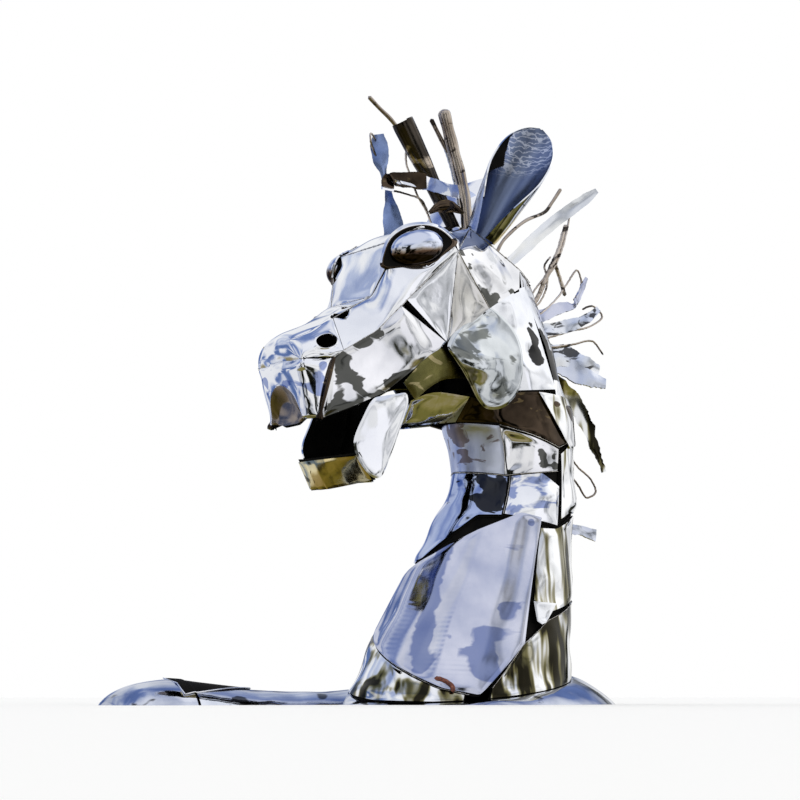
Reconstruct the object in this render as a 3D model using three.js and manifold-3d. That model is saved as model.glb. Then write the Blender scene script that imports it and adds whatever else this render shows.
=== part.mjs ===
// A horse's head and neck, welded up from plates of mirror-polished stainless-steel sheet, cut flat below.
// Millimetres, +Z up. The horse faces -X, its left side is -Y, and z = 0 is the flat cut it stands on.
import * as THREE from "three";
import { mergeVertices } from "three/addons/utils/BufferGeometryUtils.js";
import Module from "manifold-3d";

const wasm = await Module();
wasm.setup();

// Driving dimensions
const SHEET = 3; // thickness of the plates
const SEAM = 2.2; // each plate stops this far short of a seam, which leaves room for the weld
const NECK_WIDTH_SHARE = 0.72; // the neck's half-width over its half-depth
const BIG_PLATE_LIFT = 6; // the big neck plate lies over its neighbours' edges
const SHIELD_LIFT = 9; // the cheek shield stands proud of the plates that it covers
const CREST_LIFT = 6;
const CREST_HALF_ANGLE = 11; // degrees of the neck's section, each side of the mane's line
const EYE_RADII = [54, 26, 29]; // along the eye, outwards, across
const EYE_MIDDLE = { left: [-184, -98, 832], right: [-186, 101, 829] };
const NOSTRIL = { at: [-366, 66, 637], radii: [19, 11.5] };
const NOSE_HOLE = [[-325, -38, 711], [-306, -60, 696], [-328, -60, 684]]; // a gap left open beside the nose bridge
const RIGHT_JAW_FORWARD = 13; // the lower jaw is welded on a little out of square
const EAR_LENGTH_STEPS = 8;
const BAR = 3.5; // thickness of the flat bars in the mane
const WIRE_SIDES = 6;

// The flat cut through the shoulders: the neck's lower rim lies in a plane that leans towards the left shoulder
const RIM_HEIGHT = 38;
const RIM_RISE_PER_X = 0.11;
const RIM_RISE_PER_Y = 0.126;
const SHOULDER_CENTRE = 40;
const SHOULDER_HALF_LENGTH = 297;
const SHOULDER_HALF_WIDTH = 200;

// The raised right foreleg, of which only the top lies above the cut
const LEG_OFFSET = 92;
const LEG_RADIUS = 78;

// Corners of the head's plates: x, half-width, z. Each one is there on the left and on the right.
const CORNER = {
  noseTip: [-430, 45, 645],
  muzzleCorner: [-424, 74, 606],
  lipCorner: [-406, 58, 496],
  muzzleRearTop: [-358, 84, 611],
  muzzleRearLow: [-385, 78, 498],
  noseRidge: [-337, 50, 690],
  browFront: [-262, 64, 738],
  browMiddle: [-241, 88, 800],
  browTop: [-229, 86, 843],
  eyeFront: [-240, 97, 792],
  eyeLow: [-170, 113, 796],
  eyeTop: [-175, 104, 876],
  eyeBack: [-104, 113, 845],
  eyeBackTop: [-104, 104, 874],
  cheekFront: [-216, 112, 728],
  cheekBrow: [-158, 113, 783],
  seamMiddle: [-275, 100, 667],
  seamFront: [-341, 90, 625],
  slitTop: [-229, 110, 718],
  slitLow: [-117, 106, 661],
  mouthMiddle: [-320, 80, 524],
  mouthCorner: [-244, 82, 558],
  templeTop: [-93, 109, 838],
  templeMiddle: [-55, 108, 788],
  cheekTop: [-15, 106, 738],
  pollFront: [-33, 72, 899],
  pollRear: [100, 60, 837],
  pollRearLow: [80, 82, 793],
  pollEnd: [146, 36, 822],
  shieldLeft: [-108, 106, 655],
  shieldLeftLow: [-62, 102, 604],
  shieldBottom: [22, 98, 556],
  shieldTopRear: [58, 102, 704],
  shieldRear: [66, 102, 640],
  shieldRearLow: [60, 99, 576],
  jawTopRear: [-188, 78, 569],
  jawTopFront: [-260, 76, 548],
  jawBulgeTop: [-292, 75, 487],
  jawBulge: [-281, 74, 425],
  jawTip: [-247, 70, 406],
  jawHeel: [-220, 68, 413],
  lipEdge: [-305, 72, 446],
  jowlFront: [-204, 84, 588],
  jowlMiddle: [-124, 97, 648],
  jowlRear: [-66, 92, 612],
  throatFront: [-166, 72, 556],
  throatMiddle: [-112, 80, 578],
  throatRear: [-54, 88, 599],
  throatKeelFront: [-165, 34, 511],
  throatKeelMiddle: [-108, 36, 518],
  throatKeelRear: [-50, 40, 525],
};

// The neck's outline in the horse's mid-plane: height, then x of the throat line and of the crest line
const THROAT_LINE = [[0, -250], [130, -176], [260, -97], [350, -38], [420, -8], [480, -10], [540, -30], [640, -30], [860, 10]];
const CREST_LINE = [[0, 228], [130, 236], [260, 247], [400, 261], [520, 262], [600, 243], [700, 206], [790, 170], [860, 140]];

const LEFT = -1;
const RIGHT = 1;
const HEAD_MIDDLE = new THREE.Vector3(-180, 0, 690);

const polished = new THREE.MeshStandardMaterial({ color: 0xc8ccd4, roughness: 0.12, metalness: 1 });
const eyeSteel = new THREE.MeshStandardMaterial({ color: 0xd8dbe0, roughness: 0.05, metalness: 1 });
const barSteel = new THREE.MeshStandardMaterial({ color: 0xb4b6b4, roughness: 0.2, metalness: 1 });
const bodySteel = new THREE.MeshStandardMaterial({ color: 0xc0c4cc, roughness: 0.15, metalness: 1 });

const vector = (x, y, z) => new THREE.Vector3(x, y, z);
const mix = (a, b, t) => a.map((value, k) => value + (b[k] - value) * t);
const asPoint = (tuple) => vector(...tuple);
const radians = THREE.MathUtils.degToRad;

// A corner on one side of the head, as a tuple
function corner(name, side) {
  const [x, half, z] = CORNER[name];
  return [x, side * half, z];
}

// A value read off a table of [key, value] rows by a smooth cubic through them
function smooth(table, key) {
  const last = table.length - 1;
  const row = Math.max(0, Math.min(last - 1, table.findIndex(([k]) => k > key) - 1));
  const i = key >= table[last][0] ? last - 1 : row;
  const slope = (k) => {
    const [before, after] = [table[Math.max(0, k - 1)], table[Math.min(last, k + 1)]];
    return (after[1] - before[1]) / (after[0] - before[0]);
  };
  const span = table[i + 1][0] - table[i][0];
  const t = (key - table[i][0]) / span;
  const [t2, t3] = [t * t, t * t * t];
  return (2 * t3 - 3 * t2 + 1) * table[i][1] + (t3 - 2 * t2 + t) * span * slope(i)
    + (3 * t2 - 2 * t3) * table[i + 1][1] + (t3 - t2) * span * slope(i + 1);
}

// A point on the neck: angle in degrees from the throat round the left side to the crest, height, distance outwards
function neckPoint(angle, z, lift = 0) {
  const [front, back] = [smooth(THROAT_LINE, z), smooth(CREST_LINE, z)];
  const half = (back - front) / 2;
  const turn = radians(angle);
  return vector(
    (front + back) / 2 - (half + lift) * Math.cos(turn),
    -(NECK_WIDTH_SHARE * half + lift) * Math.sin(turn),
    z,
  );
}

// Height of the neck's lower rim at an angle, where the leaning rim plane cuts the neck
function rimHeight(angle) {
  const foot = neckPoint(angle, RIM_HEIGHT);
  return RIM_HEIGHT + RIM_RISE_PER_X * foot.x + RIM_RISE_PER_Y * foot.y;
}

// A rail of corners sampled with some steps to each stretch, its two ends drawn in by the gap
function sampleRail(rail, steps, gap, place) {
  const samples = [];
  const stretches = rail.length - 1;
  for (let i = 0; i <= stretches * steps; i += 1) {
    const stretch = Math.min(stretches - 1, Math.floor(i / steps));
    let t = i / steps - stretch;
    const length = place(rail[stretch]).distanceTo(place(rail[stretch + 1]));
    const inset = Math.min(0.3, gap / Math.max(length, 1));
    if (i === 0) t = inset;
    if (i === stretches * steps) t = 1 - inset;
    samples.push(mix(rail[stretch], rail[stretch + 1], t));
  }
  return samples;
}

// A grid of points ruled between two rails with as many corners each, drawn in by the seam and crowned in its middle
function ruledGrid(railA, railB, { place = asPoint, steps = 2, across = 3, gap = SEAM, crown = 0 }) {
  const samplesA = sampleRail(railA, steps, gap, place);
  const samplesB = sampleRail(railB, steps, gap, place);
  const columns = samplesA.length - 1;
  const grid = samplesA.map((a, i) => {
    const b = samplesB[i];
    const inset = Math.min(0.3, gap / Math.max(place(a).distanceTo(place(b)), 1));
    return Array.from({ length: across + 1 }, (_, j) => {
      const t = inset + (1 - 2 * inset) * (j / across);
      return place(mix(a, b, t));
    });
  });
  if (crown !== 0) {
    const normals = gridNormals(grid);
    grid.forEach((line, i) => line.forEach((point, j) => {
      const rise = 16 * (i / columns) * (1 - i / columns) * (j / across) * (1 - j / across);
      point.addScaledVector(normals[i][j], crown * rise);
    }));
  }
  return grid;
}

// Unit normals of a grid from the differences between its neighbours
function gridNormals(grid) {
  const [lastI, lastJ] = [grid.length - 1, grid[0].length - 1];
  return grid.map((line, i) => line.map((_, j) => {
    const along = vector().subVectors(grid[Math.min(lastI, i + 1)][j], grid[Math.max(0, i - 1)][j]);
    const over = vector().subVectors(line[Math.min(lastJ, j + 1)], line[Math.max(0, j - 1)]);
    return along.cross(over).normalize();
  }));
}

// A plate of sheet: the grid is its outer face, seen from away from the inside point, and its inner face lies a sheet below
function sheetSolid(outerGrid, inside, thickness = SHEET) {
  let grid = outerGrid;
  const outwards = (normals) => normals.reduce((sum, line, i) => sum + line.reduce(
    (part, n, j) => part + n.dot(vector().subVectors(grid[i][j], inside)), 0), 0);
  let normals = gridNormals(grid);
  if (outwards(normals) < 0) {
    grid = [...grid].reverse();
    normals = gridNormals(grid);
  }
  const [columns, rows] = [grid.length, grid[0].length];
  const positions = [];
  grid.forEach((line) => line.forEach((p) => positions.push(p.x, p.y, p.z)));
  grid.forEach((line, i) => line.forEach((p, j) => {
    const inner = p.clone().addScaledVector(normals[i][j], -thickness);
    positions.push(inner.x, inner.y, inner.z);
  }));
  const outer = (i, j) => i * rows + j;
  const inner = (i, j) => columns * rows + i * rows + j;
  const faces = [];
  const quad = (a, b, c, d) => faces.push(a, b, c, a, c, d);
  for (let i = 0; i + 1 < columns; i += 1) {
    for (let j = 0; j + 1 < rows; j += 1) {
      quad(outer(i, j), outer(i + 1, j), outer(i + 1, j + 1), outer(i, j + 1));
      quad(inner(i, j), inner(i, j + 1), inner(i + 1, j + 1), inner(i + 1, j));
    }
    quad(outer(i + 1, 0), outer(i, 0), inner(i, 0), inner(i + 1, 0));
    quad(outer(i, rows - 1), outer(i + 1, rows - 1), inner(i + 1, rows - 1), inner(i, rows - 1));
  }
  for (let j = 0; j + 1 < rows; j += 1) {
    quad(outer(0, j), outer(0, j + 1), inner(0, j + 1), inner(0, j));
    quad(outer(columns - 1, j + 1), outer(columns - 1, j), inner(columns - 1, j), inner(columns - 1, j + 1));
  }
  return indexedGeometry(positions, faces);
}

function indexedGeometry(positions, faces) {
  const geometry = new THREE.BufferGeometry();
  geometry.setAttribute("position", new THREE.Float32BufferAttribute(positions, 3));
  geometry.setIndex(faces);
  return geometry;
}

// A solid of closed rings of points, one above the other, filled in flat at both ends
function ringSolid(rings) {
  const sides = rings[0].length;
  const positions = rings.flat().flatMap((p) => [p.x, p.y, p.z]);
  const faces = [];
  const middles = [rings[0], rings[rings.length - 1]].map((ring) => {
    const middle = ring.reduce((sum, p) => sum.add(p), vector()).divideScalar(sides);
    positions.push(middle.x, middle.y, middle.z);
    return positions.length / 3 - 1;
  });
  const last = (rings.length - 1) * sides;
  for (let k = 0; k < sides; k += 1) {
    const next = (k + 1) % sides;
    faces.push(middles[0], next, k, middles[1], last + k, last + next);
    for (let r = 0; r + 1 < rings.length; r += 1) {
      const [low, high] = [r * sides, (r + 1) * sides];
      faces.push(low + k, low + next, high + next, low + k, high + next, high + k);
    }
  }
  return indexedGeometry(positions, faces);
}

// A flat bar along a curve, its width turning evenly from one direction to another
function barSolid(points, widths, across, acrossEnd = across) {
  const curve = new THREE.CatmullRomCurve3(points.map(asPoint));
  const steps = 2 * (points.length - 1) + 2;
  const grid = Array.from({ length: steps + 1 }, (_, i) => {
    const t = i / steps;
    const at = curve.getPoint(t);
    const tangent = curve.getTangent(t);
    const side = asPoint(mix(across, acrossEnd, t));
    side.addScaledVector(tangent, -side.dot(tangent)).normalize();
    const half = smooth(widths, t) / 2;
    return [-1, 0, 1].map((s) => at.clone().addScaledVector(side, s * half));
  });
  return sheetSolid(grid, vector(0, 1e5, 0), BAR);
}

// A round rod along a curve, tapered by nothing: a polygon carried along the path
function rodSolid(points, radius, sides = WIRE_SIDES) {
  const path = new THREE.CatmullRomCurve3(points.map(asPoint));
  const section = new THREE.Shape();
  for (let k = 0; k < sides; k += 1) {
    const turn = (2 * Math.PI * k) / sides;
    const [x, y] = [radius * Math.cos(turn), radius * Math.sin(turn)];
    if (k === 0) section.moveTo(x, y);
    else section.lineTo(x, y);
  }
  section.closePath();
  return new THREE.ExtrudeGeometry(section, { steps: 3 * (points.length - 1), extrudePath: path, curveSegments: 1 });
}

// A slit pipe: sheet rolled round a straight line, with its slit turned away from the viewer
function slitPipeSolid(foot, head, footRadius, headRadius, slitDirection) {
  const [low, high] = [asPoint(foot), asPoint(head)];
  const axis = vector().subVectors(high, low).normalize();
  const slit = asPoint(slitDirection);
  slit.addScaledVector(axis, -slit.dot(axis)).normalize();
  const other = vector().crossVectors(axis, slit);
  const [lengthSteps, turnSteps, slitHalf] = [4, 12, radians(35)];
  const grid = Array.from({ length: turnSteps + 1 }, (_, i) => {
    const turn = slitHalf + ((2 * Math.PI - 2 * slitHalf) * i) / turnSteps;
    const out = slit.clone().multiplyScalar(Math.cos(turn)).addScaledVector(other, Math.sin(turn));
    return Array.from({ length: lengthSteps + 1 }, (__, j) => {
      const t = j / lengthSteps;
      const radius = footRadius + (headRadius - footRadius) * t;
      return low.clone().lerp(high, t).addScaledVector(out, radius);
    });
  });
  const middle = low.clone().lerp(high, 0.5);
  return sheetSolid(grid, middle, SHEET);
}

function solidOf(geometry) {
  const bare = geometry.clone();
  bare.deleteAttribute("normal");
  bare.deleteAttribute("uv");
  const merged = mergeVertices(bare, 1e-3);
  return new wasm.Manifold(new wasm.Mesh({
    numProp: 3,
    vertProperties: merged.attributes.position.array,
    triVerts: new Uint32Array(merged.index.array),
  }));
}

function geometryOf(solid) {
  const { vertProperties, triVerts } = solid.getMesh();
  return indexedGeometry(Array.from(vertProperties), Array.from(triVerts));
}

// Bars that are welded to each other, joined into one solid
function welded(...geometries) {
  return geometryOf(geometries.map(solidOf).reduce((whole, next) => whole.add(next)));
}

// A plate with some solids taken out of it
function cut(mesh, ...cutters) {
  mesh.geometry = geometryOf(cutters.reduce((whole, cutter) => whole.subtract(cutter), solidOf(mesh.geometry)));
  return mesh;
}

function named(name, geometry, material = polished) {
  const mesh = new THREE.Mesh(geometry, material);
  mesh.name = name;
  return mesh;
}

// A head plate ruled between two rails of corner names
function headPlate(name, side, namesA, namesB, options = {}) {
  const rails = [namesA, namesB].map((names) => names.map((n) => corner(n, side)));
  const inside = HEAD_MIDDLE.clone();
  return named(name, sheetSolid(ruledGrid(...rails, options), inside));
}

// A head plate that spans the head from its left rail of corners to its right one
function spanningPlate(name, names, options = {}) {
  const rails = [LEFT, RIGHT].map((side) => names.map((n) => corner(n, side)));
  return named(name, sheetSolid(ruledGrid(...rails, options), HEAD_MIDDLE));
}

function muzzleCap() {
  const wrap = (rear, front) => [
    corner(rear, LEFT), corner(front, LEFT), corner(front, RIGHT), corner(rear, RIGHT),
  ];
  const grid = ruledGrid(wrap("muzzleRearTop", "muzzleCorner"), wrap("muzzleRearLow", "lipCorner"), { steps: 2 });
  return named("muzzle_cap", sheetSolid(grid, vector(-330, 0, 560)));
}

// An oval plug square to the nostril plate
function nostrilPlug(side) {
  const [tip, ridge, low] = ["noseTip", "noseRidge", "muzzleCorner"].map((n) => asPoint(corner(n, side)));
  const along = ridge.sub(tip).normalize();
  const out = vector().crossVectors(along, low.sub(tip)).normalize();
  const over = vector().crossVectors(along, out);
  const plug = new THREE.CylinderGeometry(1, 1, 60, 16);
  plug.scale(NOSTRIL.radii[0], 1, NOSTRIL.radii[1]);
  plug.applyMatrix4(new THREE.Matrix4().makeBasis(along, out, over));
  plug.translate(NOSTRIL.at[0], side * NOSTRIL.at[1], NOSTRIL.at[2]);
  return solidOf(plug);
}

// A three-sided plug square to the gap beside the nose bridge
function noseHolePlug() {
  const [a, b, c] = NOSE_HOLE.map(asPoint);
  const out = vector().subVectors(b, a).cross(vector().subVectors(c, a)).normalize();
  const ends = [-18, 18].flatMap((reach) => [a, b, c].map((p) => p.clone().addScaledVector(out, reach).toArray()));
  return wasm.Manifold.hull(ends);
}

function chinPlate() {
  const lip = [corner("lipEdge", LEFT), corner("lipEdge", RIGHT)];
  const heel = [[-250, -58, 401], [-322, 60, 389]];
  lip[1][0] -= RIGHT_JAW_FORWARD;
  const grid = ruledGrid(lip, heel, { steps: 4, crown: 3 });
  return named("chin_plate", sheetSolid(grid, vector(-230, 0, 500)));
}

function jawSide(side) {
  const rails = [
    ["jawTopFront", "jawBulgeTop", "jawBulge", "jawTip"],
    ["jawTopRear", "jawTopRear", "jawHeel", "jawHeel"],
  ].map((names) => names.map((n) => corner(n, side)));
  if (side === RIGHT) rails.flat().forEach((tuple) => { tuple[0] -= RIGHT_JAW_FORWARD; });
  rails[1][1] = mix(rails[1][0], rails[1][2], 0.45);
  rails[1][2] = mix(rails[1][0], rails[1][3], 0.85);
  const name = side === LEFT ? "jaw_side_left" : "jaw_side_right";
  return named(name, sheetSolid(ruledGrid(...rails, { crown: 5 }), vector(-240, 0, 480)));
}

function cheekShield(side) {
  const left = ["cheekTop", "shieldLeft", "shieldLeftLow", "shieldBottom"].map((n) => corner(n, side));
  const right = ["shieldTopRear", "shieldRear", "shieldRear", "shieldRearLow"].map((n) => corner(n, side));
  right[1] = mix(right[0], right[2], 0.5);
  const lifted = (tuple) => vector(tuple[0], tuple[1] + side * SHIELD_LIFT, tuple[2]);
  const grid = ruledGrid(left, right, { place: lifted, crown: 6 });
  const name = side === LEFT ? "cheek_shield_left" : "cheek_shield_right";
  return named(name, sheetSolid(grid, HEAD_MIDDLE));
}

// The throat: one plate folded along the jowl, its lower leaf running in to the keel
function throatPlate(side) {
  const [jowl, fold, keel] = ["jowl", "throat", "throatKeel"].map(
    (line) => ["Front", "Middle", "Rear"].map((end) => corner(line + end, side)));
  const grids = [[jowl, fold], [fold, keel]].map(([a, b]) => ruledGrid(a, b, {}));
  const grid = grids[0].map((line, i) => [...line.slice(0, -1), ...grids[1][i].slice(1)]);
  const name = side === LEFT ? "throat_plate_left" : "throat_plate_right";
  return named(name, sheetSolid(grid, vector(-110, 0, 640)));
}

function eye(side) {
  const mesh = named(side === LEFT ? "eye_left" : "eye_right", new THREE.SphereGeometry(1, 16, 10), eyeSteel);
  const front = asPoint(corner("eyeFront", side));
  const back = asPoint(corner("eyeBack", side));
  const along = vector().subVectors(back, front).normalize();
  const out = vector(0, side, 0).addScaledVector(along, -along.y * side).normalize();
  const across = vector().crossVectors(along, out);
  mesh.quaternion.setFromRotationMatrix(new THREE.Matrix4().makeBasis(along, out, across));
  mesh.scale.set(...EYE_RADII);
  mesh.position.set(...EYE_MIDDLE[side === LEFT ? "left" : "right"]);
  return mesh;
}

// An ear: a leaf of sheet that narrows to a rolled foot, hollow towards its open face
function ear(name, foot, tip, faceDirection) {
  const [low, high] = [asPoint(foot), asPoint(tip)];
  const axis = vector().subVectors(high, low);
  const length = axis.length();
  axis.normalize();
  const face = asPoint(faceDirection);
  face.addScaledVector(axis, -face.dot(axis)).normalize();
  const over = vector().crossVectors(axis, face);
  const halfWidths = [[0, 24], [0.3, 38], [0.62, 54], [0.84, 49], [1, 14]];
  const curl = [[0, 150], [0.35, 95], [1, 42]]; // half-angle of the rolled section, in degrees
  const grid = Array.from({ length: EAR_LENGTH_STEPS + 1 }, (_, i) => {
    const t = i / EAR_LENGTH_STEPS;
    const half = radians(smooth(curl, t));
    const radius = smooth(halfWidths, t) / (half > Math.PI / 2 ? 1 : Math.sin(half));
    const centre = low.clone().addScaledVector(axis, t * length).addScaledVector(face, radius * 0.6);
    return Array.from({ length: 9 }, (__, j) => {
      const turn = half * (j / 4 - 1);
      return centre.clone()
        .addScaledVector(face, -radius * Math.cos(turn))
        .addScaledVector(over, radius * Math.sin(turn));
    });
  });
  const infront = low.clone().lerp(high, 0.6).addScaledVector(face, 400);
  return named(name, sheetSolid(grid, infront));
}

// A neck plate ruled between two rails of [angle, height]
function neckPlate(name, lower, upper, { lift = 0, ...options } = {}) {
  const place = ([angle, z]) => neckPoint(angle, z, lift);
  const grid = ruledGrid(lower, upper, { place, ...options });
  const heights = [...lower, ...upper].map(([, z]) => z);
  const z = heights.reduce((sum, h) => sum + h, 0) / heights.length;
  const inside = vector((smooth(THROAT_LINE, z) + smooth(CREST_LINE, z)) / 2, 0, z);
  return named(name, sheetSolid(grid, inside));
}

// The lower rail of a plate that stands on the neck's rim
const onRim = (...angles) => angles.map((angle) => [angle, rimHeight(angle)]);

function neckPlates() {
  const crestAngles = [180 - CREST_HALF_ANGLE, 180 + CREST_HALF_ANGLE];
  const crestHeights = [72, 190, 320, 440, 540, 640, 740, 815];
  const crestRail = (angle) => crestHeights.map((z) => [angle, z]);
  return [
    neckPlate("throat_band_front", [[-60, 436], [-12, 440], [20, 436], [51, 430]],
      [[-60, 530], [-12, 530], [20, 528], [51, 522]]),
    neckPlate("throat_band_side", [[51, 430], [78, 436], [104, 444]], [[51, 518], [78, 505], [106, 486]]),
    neckPlate("nape_low_left", [[51, 525], [78, 510], [106, 491], [124, 506], [166, 510]],
      [[40, 566], [70, 579], [98, 587], [136, 581], [166, 585]]),
    neckPlate("nape_high_left", [[56, 592], [82, 598], [111, 612]], [[66, 768], [92, 770], [124, 776]]),
    neckPlate("nape_rear_left", [[114, 590], [119, 690], [128, 785]], [[166, 590], [166, 700], [166, 800]]),
    neckPlate("neck_upper_rear_left", [[112, 350], [128, 368], [166, 370]], [[109, 478], [126, 500], [166, 505]]),
    neckPlate("collar_band_front", [[-60, 262], [-5, 270], [34, 352], [55, 352]],
      [[-60, 434], [-12, 438], [28, 432], [54, 427]]),
    neckPlate("collar_band_side", [[57, 354], [86, 344], [108, 337]], [[57, 428], [86, 437], [107, 414]]),
    neckPlate("neck_big_plate", [[-26, 136], [14, 80], [50, 30], [69, 17], [89, 112]],
      [[-24, 240], [10, 277], [40, 323], [70, 358], [88, 350]], { lift: BIG_PLATE_LIFT, steps: 2, across: 4 }),
    neckPlate("neck_low_front", onRim(-76, -31, -28, 14, 47, 62),
      [[-76, 257], [-31, 254], [-28.5, 134], [14, 76], [47, 30], [62, 18]]),
    neckPlate("neck_low_rear_left", onRim(75, 89, 106, 140, 166),
      [[75, 30], [89, 106], [106, 154], [140, 190], [166, 205]]),
    neckPlate("neck_rear_left", [[93, 196], [107, 170], [140, 196], [166, 211]],
      [[93, 326], [107, 331], [140, 364], [166, 366]]),
    neckPlate("crest_strip", crestRail(crestAngles[0]), crestRail(crestAngles[1]),
      { lift: CREST_LIFT, steps: 1, across: 2, gap: 0 }),
    neckPlate("neck_upper_right", [[-166, 436], [-130, 436], [-95, 436], [-62, 436]],
      [[-166, 580], [-130, 580], [-95, 570], [-62, 530]]),
    neckPlate("neck_middle_right", [[-166, 262], [-130, 262], [-95, 262], [-62, 262]],
      [[-166, 431], [-130, 431], [-95, 431], [-62, 431]]),
    neckPlate("neck_low_rear_right", onRim(-166, -145, -122),
      [[-166, 257], [-145, 257], [-122, 257]]),
    neckPlate("neck_low_side_right", onRim(-120, -98, -78),
      [[-120, 257], [-98, 257], [-78, 257]]),
    neckPlate("nape_right", [[-166, 585], [-125, 585], [-95, 575], [-58, 545]],
      [[-166, 800], [-125, 776], [-92, 770], [-66, 768]]),
  ];
}

// The top of the shoulders, from the flat cut up to the neck's rim
function shoulderSection() {
  const sides = 36;
  const angles = Array.from({ length: sides }, (_, k) => (360 * k) / sides);
  const floor = (share) => angles.map((angle) => vector(
    SHOULDER_CENTRE - share * SHOULDER_HALF_LENGTH * Math.cos(radians(angle)),
    -share * SHOULDER_HALF_WIDTH * Math.sin(radians(angle)),
    0,
  ));
  const outer = floor(1);
  const neckFoot = angles.map((angle) => {
    const foot = neckPoint(angle, RIM_HEIGHT, 3);
    return foot.setZ(Math.max(1.2, rimHeight(angle) - 1));
  });
  const bulge = outer.map((p, k) => {
    const middle = p.clone().lerp(neckFoot[k], 0.5);
    return middle.setZ(neckFoot[k].z * 0.68);
  });
  const inner = angles.map((angle) => {
    const foot = neckPoint(angle, RIM_HEIGHT, -8);
    return foot.setZ(Math.max(1.2, rimHeight(angle) - 1));
  });
  return named("shoulder_section", ringSolid([outer, bulge, neckFoot, inner]), bodySteel);
}

// A stretch of the foreleg above the cut: a low arch of the leg's round section at each station [x, height]
function legStretch(name, stations) {
  const arcSteps = 8;
  const rings = stations.map(([x, height]) => {
    const half = Math.sqrt(Math.max(0, 2 * LEG_RADIUS * height - height * height));
    const reach = Math.asin(Math.min(1, half / LEG_RADIUS));
    return Array.from({ length: arcSteps + 1 }, (_, k) => {
      const turn = reach * ((2 * k) / arcSteps - 1);
      return vector(x, LEG_OFFSET + LEG_RADIUS * Math.sin(turn),
        Math.max(0, height - LEG_RADIUS * (1 - Math.cos(turn))));
    });
  });
  return named(name, ringSolid(rings), bodySteel);
}

function mane() {
  const upright = [0.8, -0.6, 0.1];
  const facing = [0.2, -0.3, 1];
  const even = (width) => [[0, width], [1, width]];
  const taper = (root, middle, tip) => [[0, root], [0.5, middle], [1, tip]];
  const steel = (name, geometry) => named(name, geometry, barSteel);
  return [
    steel("forelock_bar", barSolid([[-104, 74, 893], [-117, 74, 970], [-135, 76, 1038], [-143, 78, 1100]],
      taper(34, 32, 30), upright)),
    steel("forelock_pipe", welded(
      slitPipeSolid([-30, 6, 945], [-135, 10, 1111], 12, 20, [0.5, 0.8, 0.3]),
      rodSolid([[-139, 10, 1084], [-158, 14, 1110], [-184, 18, 1130], [-207, 22, 1150]], 4),
    )),
    steel("forelock_rod", welded(
      rodSolid([[8, -15, 908], [-3, -12, 991], [-27, -8, 1079], [-46, -5, 1148]], 12, 10),
      rodSolid([[-20, 4, 1058], [-40, 12, 1096], [-57, 20, 1133]], 4.5),
    )),
    steel("forelock_band", barSolid([[-172, 10, 962], [-176, 0, 986], [-115, -28, 988], [-52, -44, 980]],
      even(27), [1, 0, 0.1], [0, 0, 1])),
    steel("mane_wire", rodSolid([[88, -26, 902], [140, -30, 947], [193, -30, 974], [212, -30, 996], [237, -30, 1029]], 3.5)),
    steel("mane_blade", barSolid([[112, -18, 862], [200, -32, 944], [322, -45, 1036]],
      [[0, 14], [0.35, 24], [0.85, 22], [1, 12]], [0.6, -0.2, -0.8])),
    steel("mane_twist", welded(
      rodSolid([[190, -8, 790], [206, -15, 842], [240, -15, 901], [263, -15, 961]], 5),
      rodSolid([[226, -15, 884], [246, -12, 852], [262, -10, 814]], 4),
    )),
    steel("mane_strip_upper", barSolid([[198, -4, 764], [243, -10, 786], [282, -15, 802], [311, -20, 856]],
      [[0, 26], [0.6, 20], [1, 6]], facing, [1, 0, 0.3])),
    steel("mane_strip_middle", barSolid([[205, -4, 738], [256, -15, 750], [307, -20, 770], [341, -25, 795]],
      taper(22, 26, 10), facing)),
    steel("mane_bundle", welded(
      barSolid([[224, 0, 690], [270, -12, 690], [340, -24, 668]], taper(46, 42, 24), [0, -0.3, 1]),
      barSolid([[226, 2, 684], [280, -20, 658], [352, -30, 640]], taper(40, 44, 22), [0.2, -0.7, 0.8]),
    )),
    steel("mane_strip_low", barSolid([[252, 0, 632], [296, -6, 590], [330, -14, 520], [352, -20, 462]],
      [[0, 26], [0.4, 30], [1, 8]], [0.7, -0.5, 0.4])),
    steel("mane_strip_tail", barSolid([[268, -2, 344], [300, -6, 342], [337, -10, 334]], taper(20, 20, 26), facing)),
  ];
}

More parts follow.
